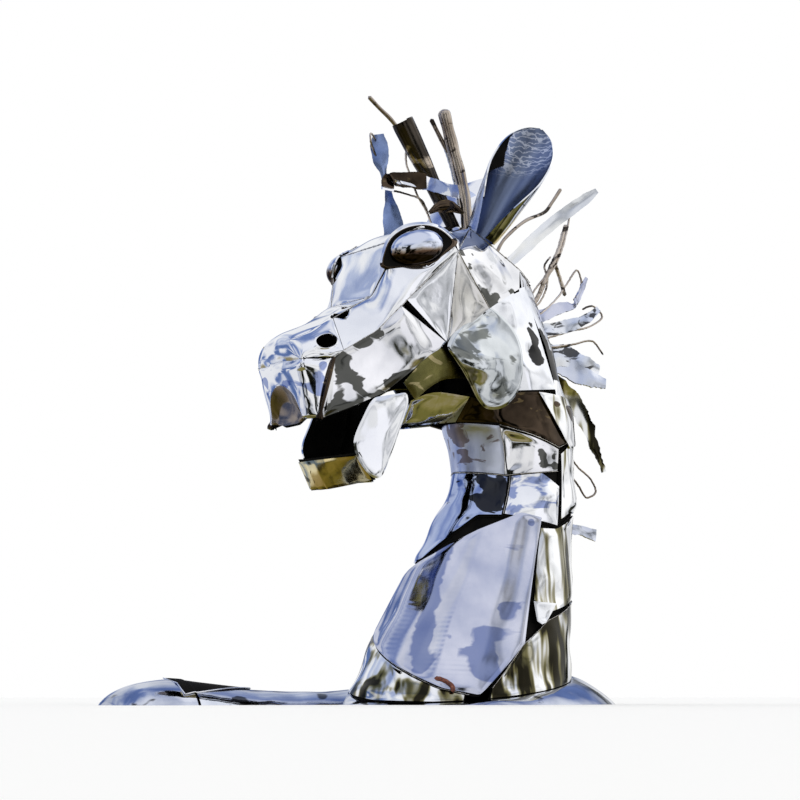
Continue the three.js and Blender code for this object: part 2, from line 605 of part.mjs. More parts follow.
function head() {
  const pair = (make) => [LEFT, RIGHT].map(make);
  const sided = (name, side) => `${name}_${side === LEFT ? "left" : "right"}`;
  const sidePlates = (name, namesA, namesB, options) => pair(
    (side) => headPlate(sided(name, side), side, namesA, namesB, options));
  return [
    muzzleCap(),
    ...pair((side) => cut(headPlate(sided("nostril_plate", side), side, ["noseTip", "noseRidge"],
      ["muzzleCorner", "seamFront"], { steps: 4, crown: 4 }), nostrilPlug(side))),
    cut(spanningPlate("nose_bridge", ["muzzleCorner", "noseTip", "noseRidge", "browFront"],
      { crown: 4, gap: SEAM + 1.4 }), noseHolePlug()),
    spanningPlate("forehead", ["browFront", "browMiddle", "browTop"], { crown: 6 }),
    spanningPlate("crown_plate", ["browTop", "eyeTop", "eyeBackTop", "pollFront", "pollRear", "pollEnd"], { crown: 18, across: 4, gap: SEAM + 0.6 }),
    ...sidePlates("face_plate", ["noseRidge", "browFront", "eyeFront", "eyeLow", "eyeBack"],
      ["seamFront", "seamMiddle", "cheekFront", "cheekBrow", "templeTop"]).map((plate) => cut(plate, noseHolePlug())),
    ...sidePlates("muzzle_side", ["muzzleRearTop", "seamFront", "seamMiddle", "slitTop"],
      ["muzzleRearLow", "mouthMiddle", "mouthCorner", "slitLow"], { crown: 4 }),
    ...sidePlates("upper_cheek", ["cheekFront", "templeTop"], ["slitLow", "slitLow"], { steps: 3 }),
    ...sidePlates("temple", ["templeTop", "cheekTop"], ["slitLow", "slitLow"], { steps: 3 }),
    ...sidePlates("poll_plate", ["templeTop", "templeMiddle", "cheekTop"], ["pollFront", "pollRear", "pollRearLow"]),
    ...pair(cheekShield),
    ...pair(jawSide),
    chinPlate(),
    ...pair(throatPlate),
    ...pair(eye),
    ear("ear_left", [12, -66, 905], [84, -146, 1102], [-0.62, -0.72, -0.1]),
    ear("ear_right", [16, 66, 903], [178, 104, 1046], [-0.3, 0.9, 0.1]),
  ];
}

function base() {
  const shoulder = shoulderSection();
  const clearance = shoulder.geometry.clone().scale(1.004, 1.004, 1.05);
  return [
    shoulder,
    cut(legStretch("forearm", [[-226, 25], [-300, 22], [-400, 27], [-500, 36], [-556, 42]]), solidOf(clearance)),
    legStretch("knee_cap", [[-562, 44], [-600, 45], [-640, 41], [-670, 31], [-692, 16], [-700, 3]]),
  ];
}

function groupOf(...meshes) {
  return new THREE.Group().add(...meshes);
}

const horse = new THREE.Group();
horse.add(groupOf(...head()), groupOf(...neckPlates()), groupOf(...mane()), groupOf(...base()));

export default horse;
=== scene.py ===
import math
from collections import namedtuple

import bmesh
import bpy
import numpy as np
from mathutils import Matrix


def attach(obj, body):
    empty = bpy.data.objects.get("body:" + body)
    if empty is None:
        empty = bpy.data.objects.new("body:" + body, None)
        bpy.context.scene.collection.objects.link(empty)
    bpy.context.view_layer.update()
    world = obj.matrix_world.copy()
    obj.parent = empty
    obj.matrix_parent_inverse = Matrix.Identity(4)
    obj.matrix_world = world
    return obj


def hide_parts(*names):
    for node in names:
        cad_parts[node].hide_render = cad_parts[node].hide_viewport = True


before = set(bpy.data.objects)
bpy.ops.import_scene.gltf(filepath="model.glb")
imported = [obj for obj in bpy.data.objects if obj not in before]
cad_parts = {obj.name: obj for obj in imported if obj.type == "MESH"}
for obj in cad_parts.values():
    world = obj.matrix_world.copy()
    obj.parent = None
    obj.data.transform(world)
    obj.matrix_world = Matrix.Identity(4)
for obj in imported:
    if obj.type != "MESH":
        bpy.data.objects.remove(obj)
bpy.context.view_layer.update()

# Sizes in millimetres, as in the part's source
MM = 0.001
SHEET = 3.0
SEAM, TIGHT_SEAM = 0.7, 0.15
BAR = 3.5
CELL = 3.0
NECK_WIDTH_SHARE = 0.72
BIG_PLATE_LIFT = 6.0
CREST_LIFT = 6.0
RIM_HEIGHT, RIM_RISE_PER_X, RIM_RISE_PER_Y = 38.0, 0.11, 0.126
SHOULDER_CENTRE, SHOULDER_HALF_LENGTH, SHOULDER_HALF_WIDTH = 40.0, 297.0, 200.0
LEG_OFFSET, LEG_RADIUS = 92.0, 78.0
RIGHT_JAW_FORWARD = 13.0
LEFT, RIGHT = -1, 1
SIDE_NAMES = {LEFT: "left", RIGHT: "right"}
FULL_TURN = 2 * math.pi
FAR = 1e5

# Corners of the head's plates: x, half-width, z, there on the left and on the right
CORNER = {
    "noseTip": (-430, 45, 645), "muzzleCorner": (-424, 74, 606), "lipCorner": (-406, 58, 496),
    "muzzleRearTop": (-358, 84, 611), "muzzleRearLow": (-385, 78, 498), "noseRidge": (-337, 50, 690),
    "browFront": (-262, 64, 738), "browMiddle": (-241, 88, 800), "browTop": (-229, 86, 843),
    "eyeFront": (-241, 91, 796), "eyeLow": (-170, 113, 796), "eyeTop": (-175, 104, 876),
    "eyeBack": (-104, 113, 845), "eyeBackTop": (-104, 104, 874), "cheekFront": (-216, 112, 728),
    "cheekBrow": (-158, 113, 783), "seamMiddle": (-275, 100, 667), "seamFront": (-341, 90, 625),
    "slitTop": (-229, 110, 718), "slitLow": (-117, 106, 661), "mouthMiddle": (-320, 80, 524),
    "mouthCorner": (-244, 82, 558), "templeTop": (-93, 109, 838), "templeMiddle": (-55, 108, 788),
    "cheekTop": (-15, 106, 738), "pollFront": (-33, 72, 899), "pollRear": (100, 60, 837),
    "pollRearLow": (80, 82, 793), "pollEnd": (146, 36, 822),
}
# The neck's outline in the horse's mid-plane: height, then x of the throat line and of the crest line
THROAT_LINE = [(0, -250), (130, -176), (260, -97), (350, -38), (420, -8), (480, -10), (540, -30), (640, -30),
               (860, 10)]
CREST_LINE = [(0, 228), (130, 236), (260, 247), (400, 261), (520, 262), (600, 243), (700, 206), (790, 170),
              (860, 140)]
HEAD_MIDDLE = np.array((-180.0, 0.0, 690.0))
MUZZLE_HEART = np.array((-350.0, 0.0, 575.0))


# Materials

def linear(code):
    """An sRGB hex colour as linear RGBA: below 0.04045 a straight line, above it a power of 2.4."""
    values = [int(code[i:i + 2], 16) / 255 for i in (1, 3, 5)]
    return [v / 12.92 if v <= 0.04045 else ((v + 0.055) / 1.055) ** 2.4 for v in values] + [1.0]


def feed(tree, made, inputs):
    """Gives each named input of a node a value or a link."""
    for key, value in inputs.items():
        if isinstance(value, bpy.types.NodeSocket):
            tree.links.new(value, made.inputs[key])
        else:
            made.inputs[key].default_value = value


def node(tree, kind, inputs=None, stops=None, **settings):
    """Adds a node, sets its settings and its ramp's stops (place, hex colour), and feeds its inputs."""
    made = tree.nodes.new(kind)
    for key, value in settings.items():
        setattr(made, key, value)
    if stops:
        ramp = made.color_ramp.elements
        while len(ramp) < len(stops):
            ramp.new(1.0)
        for element, (place, code) in zip(ramp, stops):
            element.position, element.color = place, linear(code)
    feed(tree, made, inputs or {})
    return made


def material(name):
    """A node material with its Principled shader: (material, tree, shader)."""
    made = bpy.data.materials.new(name)
    made.use_nodes = True
    tree = made.node_tree
    return made, tree, tree.nodes["Principled BSDF"]


# Hammer marks of a sheet in millimetres: size and depth of its soft swells, size and depth of its grain
Marks = namedtuple("Marks", "swell swell_depth grain grain_depth")
# A stain, also used for painted reflections: its colour, how much it covers, the size of its spots, the level
# where it starts and its blend
StainAndPaintedLight = namedtuple("StainAndPaintedLight", "colour share size_mm start soft")
TONE_PATCH_MM = 90
BLOTCH_SLANT, BLOTCH_STRETCH = (0, 0.7, 0), (0.65, 1.0, 1.5)


def steel(name, pale, dark, rough, marks, stain_and_painted_light=None):
    """Polished stainless steel: a metal whose colour and roughness drift slowly, with two sizes of hammer
    ripple. Its stain shows where a slanted noise, raised by the piece's own marks, passes a start; on some
    sheets this colour is a painted reflection, not a stain."""
    made, tree, shader = material(name)
    place = node(tree, "ShaderNodeTexCoord").outputs["Object"]
    swell, grain, cloud = [
        node(tree, "ShaderNodeTexNoise", {
            "Vector": place, "Scale": 1000 / size_mm, "Detail": detail}).outputs["Fac"]
        for size_mm, detail in ((marks.swell, 1.0), (marks.grain, 2.0), (TONE_PATCH_MM, 4.0))]
    tone = node(tree, "ShaderNodeMapRange", {
        "Value": cloud, "From Min": 0.35, "From Max": 0.65}).outputs["Result"]
    colour = node(tree, "ShaderNodeMix", {"Factor": tone, "A": linear(dark), "B": linear(pale)},
                  data_type="RGBA").outputs[2]
    if stain_and_painted_light:
        slanted = node(tree, "ShaderNodeMapping", {
            "Vector": place, "Rotation": BLOTCH_SLANT, "Scale": BLOTCH_STRETCH}).outputs["Vector"]
        spots = node(tree, "ShaderNodeTexNoise", {
            "Vector": slanted, "Scale": 1000 / stain_and_painted_light.size_mm, "Detail": 3.0,
            "Distortion": 1.0}).outputs["Fac"]
        # the marks raise soot on some pieces and painted reflections on others
        soot_and_painted_light = node(tree, "ShaderNodeAttribute", attribute_name="soot_and_painted_light").outputs["Fac"]
        spread = node(tree, "ShaderNodeMath", {0: spots, 1: soot_and_painted_light}, operation="ADD").outputs[0]
        reach = node(tree, "ShaderNodeMapRange", {
            "Value": spread, "From Min": stain_and_painted_light.start, "From Max": stain_and_painted_light.start + stain_and_painted_light.soft,
            "To Max": stain_and_painted_light.share}).outputs["Result"]
        colour = node(tree, "ShaderNodeMix", {"Factor": reach, "A": colour, "B": linear(stain_and_painted_light.colour)},
                      data_type="RGBA").outputs[2]
    wear = node(tree, "ShaderNodeMapRange", {
        "Value": grain, "From Min": 0.3, "From Max": 0.7, "To Min": rough[0],
        "To Max": rough[1]}).outputs["Result"]
    coarse = node(tree, "ShaderNodeBump", {
        "Height": swell, "Strength": 1.0, "Distance": marks.swell_depth * MM}).outputs["Normal"]
    fine = node(tree, "ShaderNodeBump", {
        "Height": grain, "Strength": 1.0, "Distance": marks.grain_depth * MM,
        "Normal": coarse}).outputs["Normal"]
    feed(tree, shader, {"Metallic": 1.0, "Base Color": colour, "Roughness": wear, "Normal": fine})
    return made


STREAK_WIDE_MM, STREAK_LONG_MM = 30, 260


def rain_streaked(name, soil):
    """Polished sheet near the ground, streaked by rain and splashed soil: upright bands of bare mirror, olive
    film and dark brown, about 30 mm wide and 260 mm long; more soil widens the dark bands."""
    made, tree, shader = material(name)
    place = node(tree, "ShaderNodeTexCoord").outputs["Object"]
    wide, long_way = 1000 / STREAK_WIDE_MM, 1000 / STREAK_LONG_MM
    drawn = node(tree, "ShaderNodeMapping", {
        "Vector": place, "Scale": (wide, wide, long_way)}).outputs["Vector"]
    bands = node(tree, "ShaderNodeTexNoise", {
        "Vector": drawn, "Scale": 1.0, "Detail": 2.0, "Distortion": 0.3}).outputs["Fac"]
    colour = node(tree, "ShaderNodeValToRGB", {"Fac": bands}, stops=[
        (0.4 + soil, "#2a271d"), (0.45 + soil, "#6f6a48"), (0.49 + soil, "#a9a591"), (0.53 + soil, "#e2e3e4"),
        (0.61 + soil, "#f0f1f3")]).outputs["Color"]
    swell = node(tree, "ShaderNodeTexNoise", {
        "Vector": place, "Scale": 1000 / BEATEN.swell, "Detail": 1.0}).outputs["Fac"]
    bump = node(tree, "ShaderNodeBump", {
        "Height": swell, "Strength": 1.0, "Distance": BEATEN.swell_depth * MM}).outputs["Normal"]
    rough = node(tree, "ShaderNodeMapRange", {
        "Value": bands, "From Min": 0.4, "From Max": 0.55, "To Min": 0.2, "To Max": 0.06}).outputs["Result"]
    feed(tree, shader, {"Metallic": 1.0, "Base Color": colour, "Roughness": rough, "Normal": bump})
    return made


# Heights in metres between which the eye's painted shade gives way to bright steel, and how the border tilts
# along x
EYE_SHADE_TOP, EYE_LIT_FROM, EYE_SHADE_TILT = 0.836, 0.852, -0.16


def eye_steel():
    """Polished ball, painted brown-black low down as the shade in the socket: the colour falls from
    bright steel to brown-black over 16 mm of height, with a ragged border."""
    made, tree, shader = material("polished_stainless_dome")
    place = node(tree, "ShaderNodeTexCoord").outputs["Object"]
    spread = node(tree, "ShaderNodeTexNoise", {
        "Vector": place, "Scale": 1000 / 30, "Detail": 3.0}).outputs["Fac"]
    parts = node(tree, "ShaderNodeSeparateXYZ", {"Vector": place}).outputs
    tilt = node(tree, "ShaderNodeMath", {0: parts["X"], 1: EYE_SHADE_TILT, 2: parts["Z"]},
                operation="MULTIPLY_ADD").outputs[0]
    level = node(tree, "ShaderNodeMath", {0: spread, 1: -0.02, 2: tilt}, operation="MULTIPLY_ADD").outputs[0]
    lit = node(tree, "ShaderNodeMapRange", {
        "Value": level, "From Min": EYE_SHADE_TOP, "From Max": EYE_LIT_FROM}).outputs["Result"]
    colour = node(tree, "ShaderNodeValToRGB", {"Fac": lit}, stops=[
        (0.0, "#2e2520"), (0.35, "#584434"), (0.6, "#8d8378"), (1.0, "#cdd3e2")]).outputs["Color"]
    feed(tree, shader, {"Metallic": 1.0, "Roughness": 0.03, "Base Color": colour})
    return made


# Heights in metres between which the ear's scratches come in, from the dark foot to the bright tip
EAR_SCRATCHED_FROM, EAR_SCRATCHED_FULL = 1.005, 1.03


def ear_inside_steel():
    """Hollow of the ear, sanded by hand: a mirror whose deep blue is the sky overhead painted in as a
    reflection, crossed by pale curling scratches about 9 and 15 mm apart, drawn as coarse as they need to
    show."""
    made, tree, shader = material("scratched_polished_stainless")
    place = node(tree, "ShaderNodeTexCoord").outputs["Object"]
    rows, strokes = [node(tree, "ShaderNodeTexWave", {
        "Vector": place, "Scale": scale, "Distortion": 7.0, "Detail": 3.0, "Detail Scale": 2.0},
        bands_direction=way).outputs["Fac"] for way, scale in (("Z", 34.0), ("DIAGONAL", 24.0))]
    curls = node(tree, "ShaderNodeMath", {0: rows, 1: strokes}, operation="MAXIMUM").outputs[0]
    lines = node(tree, "ShaderNodeMapRange", {
        "Value": curls, "From Min": 0.86, "From Max": 0.98}).outputs["Result"]
    height = node(tree, "ShaderNodeSeparateXYZ", {"Vector": place}).outputs["Z"]
    upper = node(tree, "ShaderNodeMapRange", {
        "Value": height, "From Min": EAR_SCRATCHED_FROM, "From Max": EAR_SCRATCHED_FULL,
        "To Max": 0.75}).outputs["Result"]
    share = node(tree, "ShaderNodeMath", {0: lines, 1: upper}, operation="MULTIPLY").outputs[0]
    colour = node(tree, "ShaderNodeMix", {"Factor": share, "A": linear("#74819f"), "B": linear("#d5dcec")},
                  data_type="RGBA").outputs[2]
    rough = node(tree, "ShaderNodeMapRange", {
        "Value": share, "To Min": 0.30, "To Max": 0.4}).outputs["Result"]
    feed(tree, shader, {"Metallic": 1.0, "Base Color": colour, "Roughness": rough})
    return made


def shade_black():
    """Back of the sheet inside the hollow head, painted nearly black as shade: unpolished, no shine."""
    made, tree, shader = material("painted_shade_inside")
    place = node(tree, "ShaderNodeTexCoord").outputs["Object"]
    blotch = node(tree, "ShaderNodeTexNoise", {
        "Vector": place, "Scale": 1000 / 40, "Detail": 4.0}).outputs["Fac"]
    tint = node(tree, "ShaderNodeValToRGB", {"Fac": blotch}, stops=[(0.35, "#060606"), (0.7, "#151310")])
    feed(tree, shader, {"Roughness": 0.85, "Specular IOR Level": 0.1, "Base Color": tint.outputs["Color"]})
    return made


def rusty_iron():
    """Mild-steel hook left to rust: orange-brown over dark brown, dull and pitted."""
    made, tree, shader = material("rusted_mild_steel")
    place = node(tree, "ShaderNodeTexCoord").outputs["Object"]
    flakes = node(tree, "ShaderNodeTexNoise", {
        "Vector": place, "Scale": 1000 / 6, "Detail": 5.0}).outputs["Fac"]
    tint = node(tree, "ShaderNodeValToRGB", {"Fac": flakes}, stops=[
        (0.3, "#3d2018"), (0.55, "#6f3a2a"), (0.75, "#93604a")]).outputs["Color"]
    pits = node(tree, "ShaderNodeBump", {
        "Height": flakes, "Strength": 0.6, "Distance": 0.6 * MM}).outputs["Normal"]
    feed(tree, shader, {"Roughness": 0.6, "Base Color": tint, "Normal": pits})
    return made


BEATEN = Marks(swell=52, swell_depth=1.5, grain=13, grain_depth=0.10)
LIGHTLY_BEATEN = BEATEN._replace(swell_depth=1.2)
BAR_MARKS = Marks(swell=40, swell_depth=0.8, grain=9, grain_depth=0.10)
STRIP_MARKS = Marks(swell=60, swell_depth=0.9, grain=12, grain_depth=0.06)
SATIN_MARKS = Marks(swell=70, swell_depth=1.3, grain=15, grain_depth=0.06)
WELD_MARKS = Marks(swell=12, swell_depth=0.9, grain=3, grain_depth=0.2)

# Mirror-polished stainless sheet, beaten over a bag by hand: a bright mirror broken up by soft dents
POLISHED = steel("mirror_polished_stainless", "#f0f1f3", "#dfe1e6", (0.03, 0.08), BEATEN)
# The same sheet planished and satin-polished: softer edges between bright and dark, with deep blue patches
# painted in as reflections of the sky
SATIN = steel("satin_polished_stainless", "#d0d2df", "#aab0c7", (0.08, 0.13), SATIN_MARKS,
              StainAndPaintedLight("#6878a8", share=0.8, size_mm=90, start=0.68, soft=0.08))
# Mirror-polished sheet fogged by fine sanding: a paler, greyer mirror with duller patches
HAZED = steel("fine_sanded_stainless", "#dedddb", "#b0aea9", (0.04, 0.10), BEATEN,
              StainAndPaintedLight("#5f5f57", share=0.8, size_mm=50, start=0.7, soft=0.06))
# Mirror-polished sheet with olive-grey patches at mouth, poll and throat: bright metal against olive-grey; on
# the muzzle's sides the patches are painted reflections of dark surroundings, at poll and throat soot
PATCHED = steel("soot_and_reflection_patched_stainless", "#eaeaec", "#cbccd0", (0.03, 0.08), BEATEN,
                StainAndPaintedLight("#2e2f27", share=0.92, size_mm=44, start=0.745, soft=0.05))
# Chin sheet painted straw gold as the reflection of the olive-gold ground below, with brown spots over the
# polish
STRAW = steel("straw_gold_stainless", "#f0e2b4", "#cdb87c", (0.06, 0.14), LIGHTLY_BEATEN,
              StainAndPaintedLight("#4a4128", share=0.85, size_mm=32, start=0.6, soft=0.045))
# Strip tinted blue by heat: a soft deep blue mirror
BLUED = steel("blue_heat_tinted_stainless", "#93a6d2", "#5f76ab", (0.14, 0.24), LIGHTLY_BEATEN)
# Cheek shield: a grey mirror with olive-black patches painted in as reflections of dark surroundings
REFLECTION_PATCHED = steel("reflection_patched_polished_stainless", "#d6dadd", "#b0b5b8", (0.04, 0.10), BEATEN,
                StainAndPaintedLight("#4c4f48", share=0.8, size_mm=50, start=0.69, soft=0.06))
# Muzzle and collar sheet with deep blue patches: white mirror and deep blue; on the muzzle the blue patches
# are painted reflections of the sky
BLUE_PATCHED = steel("blue_patched_stainless", "#f0f1f3", "#dfe1e6", (0.03, 0.08), BEATEN,
               StainAndPaintedLight("#7486b8", share=0.85, size_mm=56, start=0.64, soft=0.05))
# Turned-in flaps of the ears, sanded across: a soft pale blue painted in as the sky's sheen
SANDED = steel("hand_sanded_stainless", "#cdd6ea", "#9fadd0", (0.26, 0.36), BEATEN._replace(swell_depth=1.0))
# Lip pressed in with a hot stake: brown-grey scale over the polish
SCALED = steel("heat_scaled_stainless", "#b3a79c", "#857a71", (0.14, 0.24), LIGHTLY_BEATEN,
               StainAndPaintedLight("#5a5049", share=0.7, size_mm=40, start=0.6, soft=0.045))
# Sheets streaked by rain and splashed soil: upright bright and dark bands, darker with more soil
STREAKED = rain_streaked("rain_streaked_stainless", -0.02)
SOILED = rain_streaked("soil_streaked_stainless", 0.06)
WASHED = rain_streaked("rain_washed_stainless", -0.05)
EYE_STEEL = eye_steel()
EAR_INSIDE = ear_inside_steel()
# Torch-cut stainless bar and rod: polished faces with brown heat stain along the cuts
BAR_STEEL = steel("torch_cut_stainless_bar", "#d2c7ba", "#8d8072", (0.12, 0.26), BAR_MARKS,
                  StainAndPaintedLight("#241f1a", share=0.9, size_mm=34, start=0.57, soft=0.045))
# Rolled pipe cut with a torch: soot black, rubbed back to beige metal in places
SOOTED = steel("sooted_stainless_pipe", "#4a443d", "#171513", (0.12, 0.3), BAR_MARKS,
               StainAndPaintedLight("#c2b4a2", share=0.9, size_mm=60, start=0.6, soft=0.045))
# Polished sheet painted dark brown as shade: under the jowl and the nape, in the throat's gap, low in the
# eyes' sockets, in the creases behind the muzzle and on the forelock's sleeve and leaf; a dark mirror
SHADE_BROWN = steel("painted_shade_brown_stainless", "#54473a", "#211b16", (0.05, 0.14),
               BEATEN._replace(grain_depth=0.12),
               StainAndPaintedLight("#7a6a4a", share=0.4, size_mm=20, start=0.64, soft=0.045))
# Polished sheet of the throat, greyed by handling and spotted with rust: a dull blue-grey mirror
GREYED = steel("handled_polished_stainless", "#d6dcec", "#b4bcd4", (0.28, 0.38), Marks(60, 1.0, 13, 0.08),
               StainAndPaintedLight("#5d4336", share=0.75, size_mm=34, start=0.62, soft=0.045))
# Polished sheet with burnt patches left by the torch on the nape: bright metal against crisp black
BURNT = steel("torch_burnt_polished_stainless", "#eeeff2", "#cfd2da", (0.03, 0.09), BEATEN,
              StainAndPaintedLight("#1b1a18", share=0.97, size_mm=60, start=0.7, soft=0.04))
# The collar's front, burnt worst: a blue mirror with black patches
SCORCHED = steel("torch_scorched_stainless", "#b4c0dc", "#8c9cc6", (0.04, 0.10), BEATEN,
                 StainAndPaintedLight("#1d1c1a", share=0.96, size_mm=45, start=0.68, soft=0.035))
# Upper leaf of the throat: dull olive painted in as the shaded reflection of the ground under the head, with
# beige patches
OLIVE_REFLECTION = steel("olive_painted_reflection_stainless", "#7f7a48", "#4c4b2b", (0.2, 0.34), LIGHTLY_BEATEN,
               StainAndPaintedLight("#aca077", share=0.85, size_mm=46, start=0.57, soft=0.045))
# Polished sheet dulled by weather: a blue-grey mirror
DULLED = steel("weather_dulled_stainless", "#d4d8e2", "#a5acbd", (0.04, 0.10), BEATEN._replace(swell=60),
               StainAndPaintedLight("#2b2c2c", share=0.9, size_mm=60, start=0.62, soft=0.045))
# Thin stainless strip cut with shears and polished: bright, nearly flat
STRIP_STEEL = steel("sheared_polished_strip", "#eceded", "#cfd2d6", (0.06, 0.14), STRIP_MARKS)
# Offcuts of the same strip, spotted black by the torch
SPOTTED = steel("torch_spotted_strip", "#eceded", "#b4bfd9", (0.06, 0.14), STRIP_MARKS,
                StainAndPaintedLight("#1d1c1a", share=0.9, size_mm=30, start=0.51, soft=0.045))
# Weld bead, wire-brushed: a rougher grey metal with straw and brown heat tint
WELD_STEEL = steel("brushed_weld_bead", "#d9d7d3", "#a19c95", (0.16, 0.34), WELD_MARKS,
                   StainAndPaintedLight("#4b4136", share=0.7, size_mm=34, start=0.6, soft=0.045))
SHADE_BLACK = shade_black()
RUST = rusty_iron()


# Surfaces

def corner(name, side):
    """A head corner on one side: its half-width is laid off to that side of the plane of symmetry."""
    x, half, z = CORNER[name]
    return np.array((x, side * half, z), float)


def smooth(table, key):
    """A cubic through a table's rows, its slope at each being that of the line between its neighbours."""
    keys, values = np.asarray(table, float).T
    last = len(keys) - 1
    order = np.arange(last + 1)
    low, high = np.maximum(order - 1, 0), np.minimum(order + 1, last)
    slope = (values[high] - values[low]) / (keys[high] - keys[low])
    key = np.asarray(key, float)
    i = np.clip(np.searchsorted(keys, key, side="right") - 1, 0, last - 1)
    span = keys[i + 1] - keys[i]
    t = (key - keys[i]) / span
    return ((2 * t ** 3 - 3 * t ** 2 + 1) * values[i] + (t ** 3 - 2 * t ** 2 + t) * span * slope[i]
            + (3 * t ** 2 - 2 * t ** 3) * values[i + 1] + (t ** 3 - t ** 2) * span * slope[i + 1])


def neck_surface(pairs, lift=0.0):
    """The neck: at each height an oval from throat line to crest line, at an angle from the throat."""
    angle, z = np.radians(pairs[..., 0]), pairs[..., 1]
    front, back = smooth(THROAT_LINE, z), smooth(CREST_LINE, z)
    half = (back - front) / 2
    return np.stack(((front + back) / 2 - (half + lift) * np.cos(angle),
                     -(NECK_WIDTH_SHARE * half + lift) * np.sin(angle), z), -1)


def rim_height(angle):
    """Height at which the leaning rim plane meets the neck at an angle."""
    angle = np.asarray(angle, float)
    foot = neck_surface(np.stack((angle, np.full_like(angle, RIM_HEIGHT)), -1))
    return RIM_HEIGHT + RIM_RISE_PER_X * foot[..., 0] + RIM_RISE_PER_Y * foot[..., 1]


def along(rail, t, ease=0.07):
    """Points at t along a rail of corners, one unit to a stretch, each bend eased by averaging its sides."""
    rail = np.asarray(rail, float)
    last = len(rail) - 1

    def straight(s):
        s = np.clip(s, 0, last)
        i = np.minimum(s.astype(int), last - 1)
        return rail[i] + (rail[i + 1] - rail[i]) * (s - i)[..., None]

    reach = np.minimum(ease, np.minimum(t, last - t))
    return (straight(t - reach) + 2 * straight(t) + straight(t + reach)) / 4


def unit(vectors):
    """Vectors divided by their lengths."""
    return vectors / np.maximum(np.linalg.norm(vectors, axis=-1, keepdims=True), 1e-9)


def has_pole(grid):
    """Whether a round grid's first column is all one point."""
    return np.ptp(grid[:, 0], axis=0).max() < 1e-6


def grid_normals(grid, wrap=False):
    """Unit normals of a grid: the cross product of its two central differences."""
    if wrap:
        du = np.roll(grid, -1, 0) - np.roll(grid, 1, 0)
    else:
        du = np.gradient(grid, axis=0)
    normals = unit(np.cross(du, np.gradient(grid, axis=1)))
    if wrap and has_pole(grid):
        normals[:, 0] = unit(normals[:, 1].mean(0))
    return normals


def edge_distance(grid):
    """About how far each grid point is from the plate's nearest edge, in millimetres."""
    long_way = np.linalg.norm(np.diff(grid, axis=0), axis=-1).mean(1).sum()
    cross_way = np.linalg.norm(np.diff(grid, axis=1), axis=-1).sum(1)
    u = np.linspace(0, 1, grid.shape[0])[:, None]
    v = np.linspace(0, 1, grid.shape[1])[None, :]
    return np.minimum(np.minimum(u, 1 - u) * long_way, np.minimum(v, 1 - v) * cross_way[:, None])


def faced(grid, inside, wrap=False):
    """The grid, turned round if need be so that its normals point away from an inside point."""
    out = (grid_normals(grid, wrap) * (grid - inside)).sum()
    return grid if out > 0 else grid[::-1]


def ruled(rail_a, rail_b, place=None, gap=SEAM, cell=CELL, cell_across=None, notch_a=None, notch_b=None):
    """A plate ruled between two rails: points run evenly along both rails, straight lines join them, and the
    plate is drawn in by the seam on all sides, and by a notch's depth where one is cut in an edge."""
    place = place or (lambda p: p)
    rail_a, rail_b = np.asarray(rail_a, float), np.asarray(rail_b, float)
    steps = [np.linalg.norm(np.diff(place(r), axis=0), axis=-1) for r in (rail_a, rail_b)]
    run = np.concatenate(((0.0,), np.cumsum(np.maximum((steps[0] + steps[1]) / 2, 1.0))))
    length = run[-1]
    nu = max(6, int(round(length / cell)))
    s = np.linspace(gap, length - gap, nu + 1)
    t = np.interp(s, run, np.arange(len(run)))
    a, b = along(rail_a, t), along(rail_b, t)
    width = np.maximum(np.linalg.norm(place(a) - place(b), axis=-1), 1.0)
    nv = max(6, int(round(np.median(width) / (cell_across or cell))))
    inset = np.minimum(0.3, gap / width)
    low, high = inset.copy(), 1 - inset
    if notch_a:
        low = low + np.interp(t, *notch_a) / width
    if notch_b:
        high = high - np.interp(t, *notch_b) / width
    v = low[:, None] + (high - low)[:, None] * np.linspace(0, 1, nv + 1)
    return place(a[:, None] + (b - a)[:, None] * v[..., None])


def crowned(grid, height):
    """The grid swelled along its normals by a bump that is nought on its edges and whole in its middle."""
    u = np.linspace(0, 1, grid.shape[0])[:, None]
    v = np.linspace(0, 1, grid.shape[1])[None, :]
    rise = height * 16 * u * (1 - u) * v * (1 - v)
    return grid + grid_normals(grid) * rise[..., None]


def relaxed(grid, times):
    """The grid's inner points drawn again and again to the mean of their neighbours, while its edges hold."""
    grid = grid.copy()
    for _ in range(times):
        grid[1:-1, 1:-1] = (grid[:-2, 1:-1] + grid[2:, 1:-1] + grid[1:-1, :-2] + grid[1:-1, 2:]) / 4
    return grid


# The muzzle's bends: where they fade out behind the nostrils and in mid-front, and over what length
BEND_REAR, BEND_REAR_FADE, BEND_MIDDLE, BEND_MIDDLE_FADE = -348, 40, 22, 24


def softened(grid, width=20.0, depth=6.0):
    """The muzzle's bends rounded off: within a width of a plate's edge its points are drawn towards the
    muzzle's heart, by the square of how near the edge they are; none of it in mid-front or behind the
    nostrils."""
    near = np.clip(1 - edge_distance(grid) / width, 0, 1) ** 2
    share = (np.clip((BEND_REAR - grid[..., 0]) / BEND_REAR_FADE, 0, 1)
             * np.clip((np.abs(grid[..., 1]) - BEND_MIDDLE) / BEND_MIDDLE_FADE, 0, 1))
    return grid + unit(MUZZLE_HEART - grid) * (depth * near * share)[..., None]


def bells(points, middles, radii, heights):
    """A sum of bell curves over points, each with its own middle, radius and height."""
    total = np.zeros(points.shape[:-1])
    for middle, radius, height in zip(middles, radii, heights):
        total += height * np.exp(-((points - middle) ** 2).sum(-1) / radius ** 2)
    return total


WAVES, WAVE_MM, EDGE_HOLD, ROLL_REACH = 3, (70, 170), 10.0, 3.5


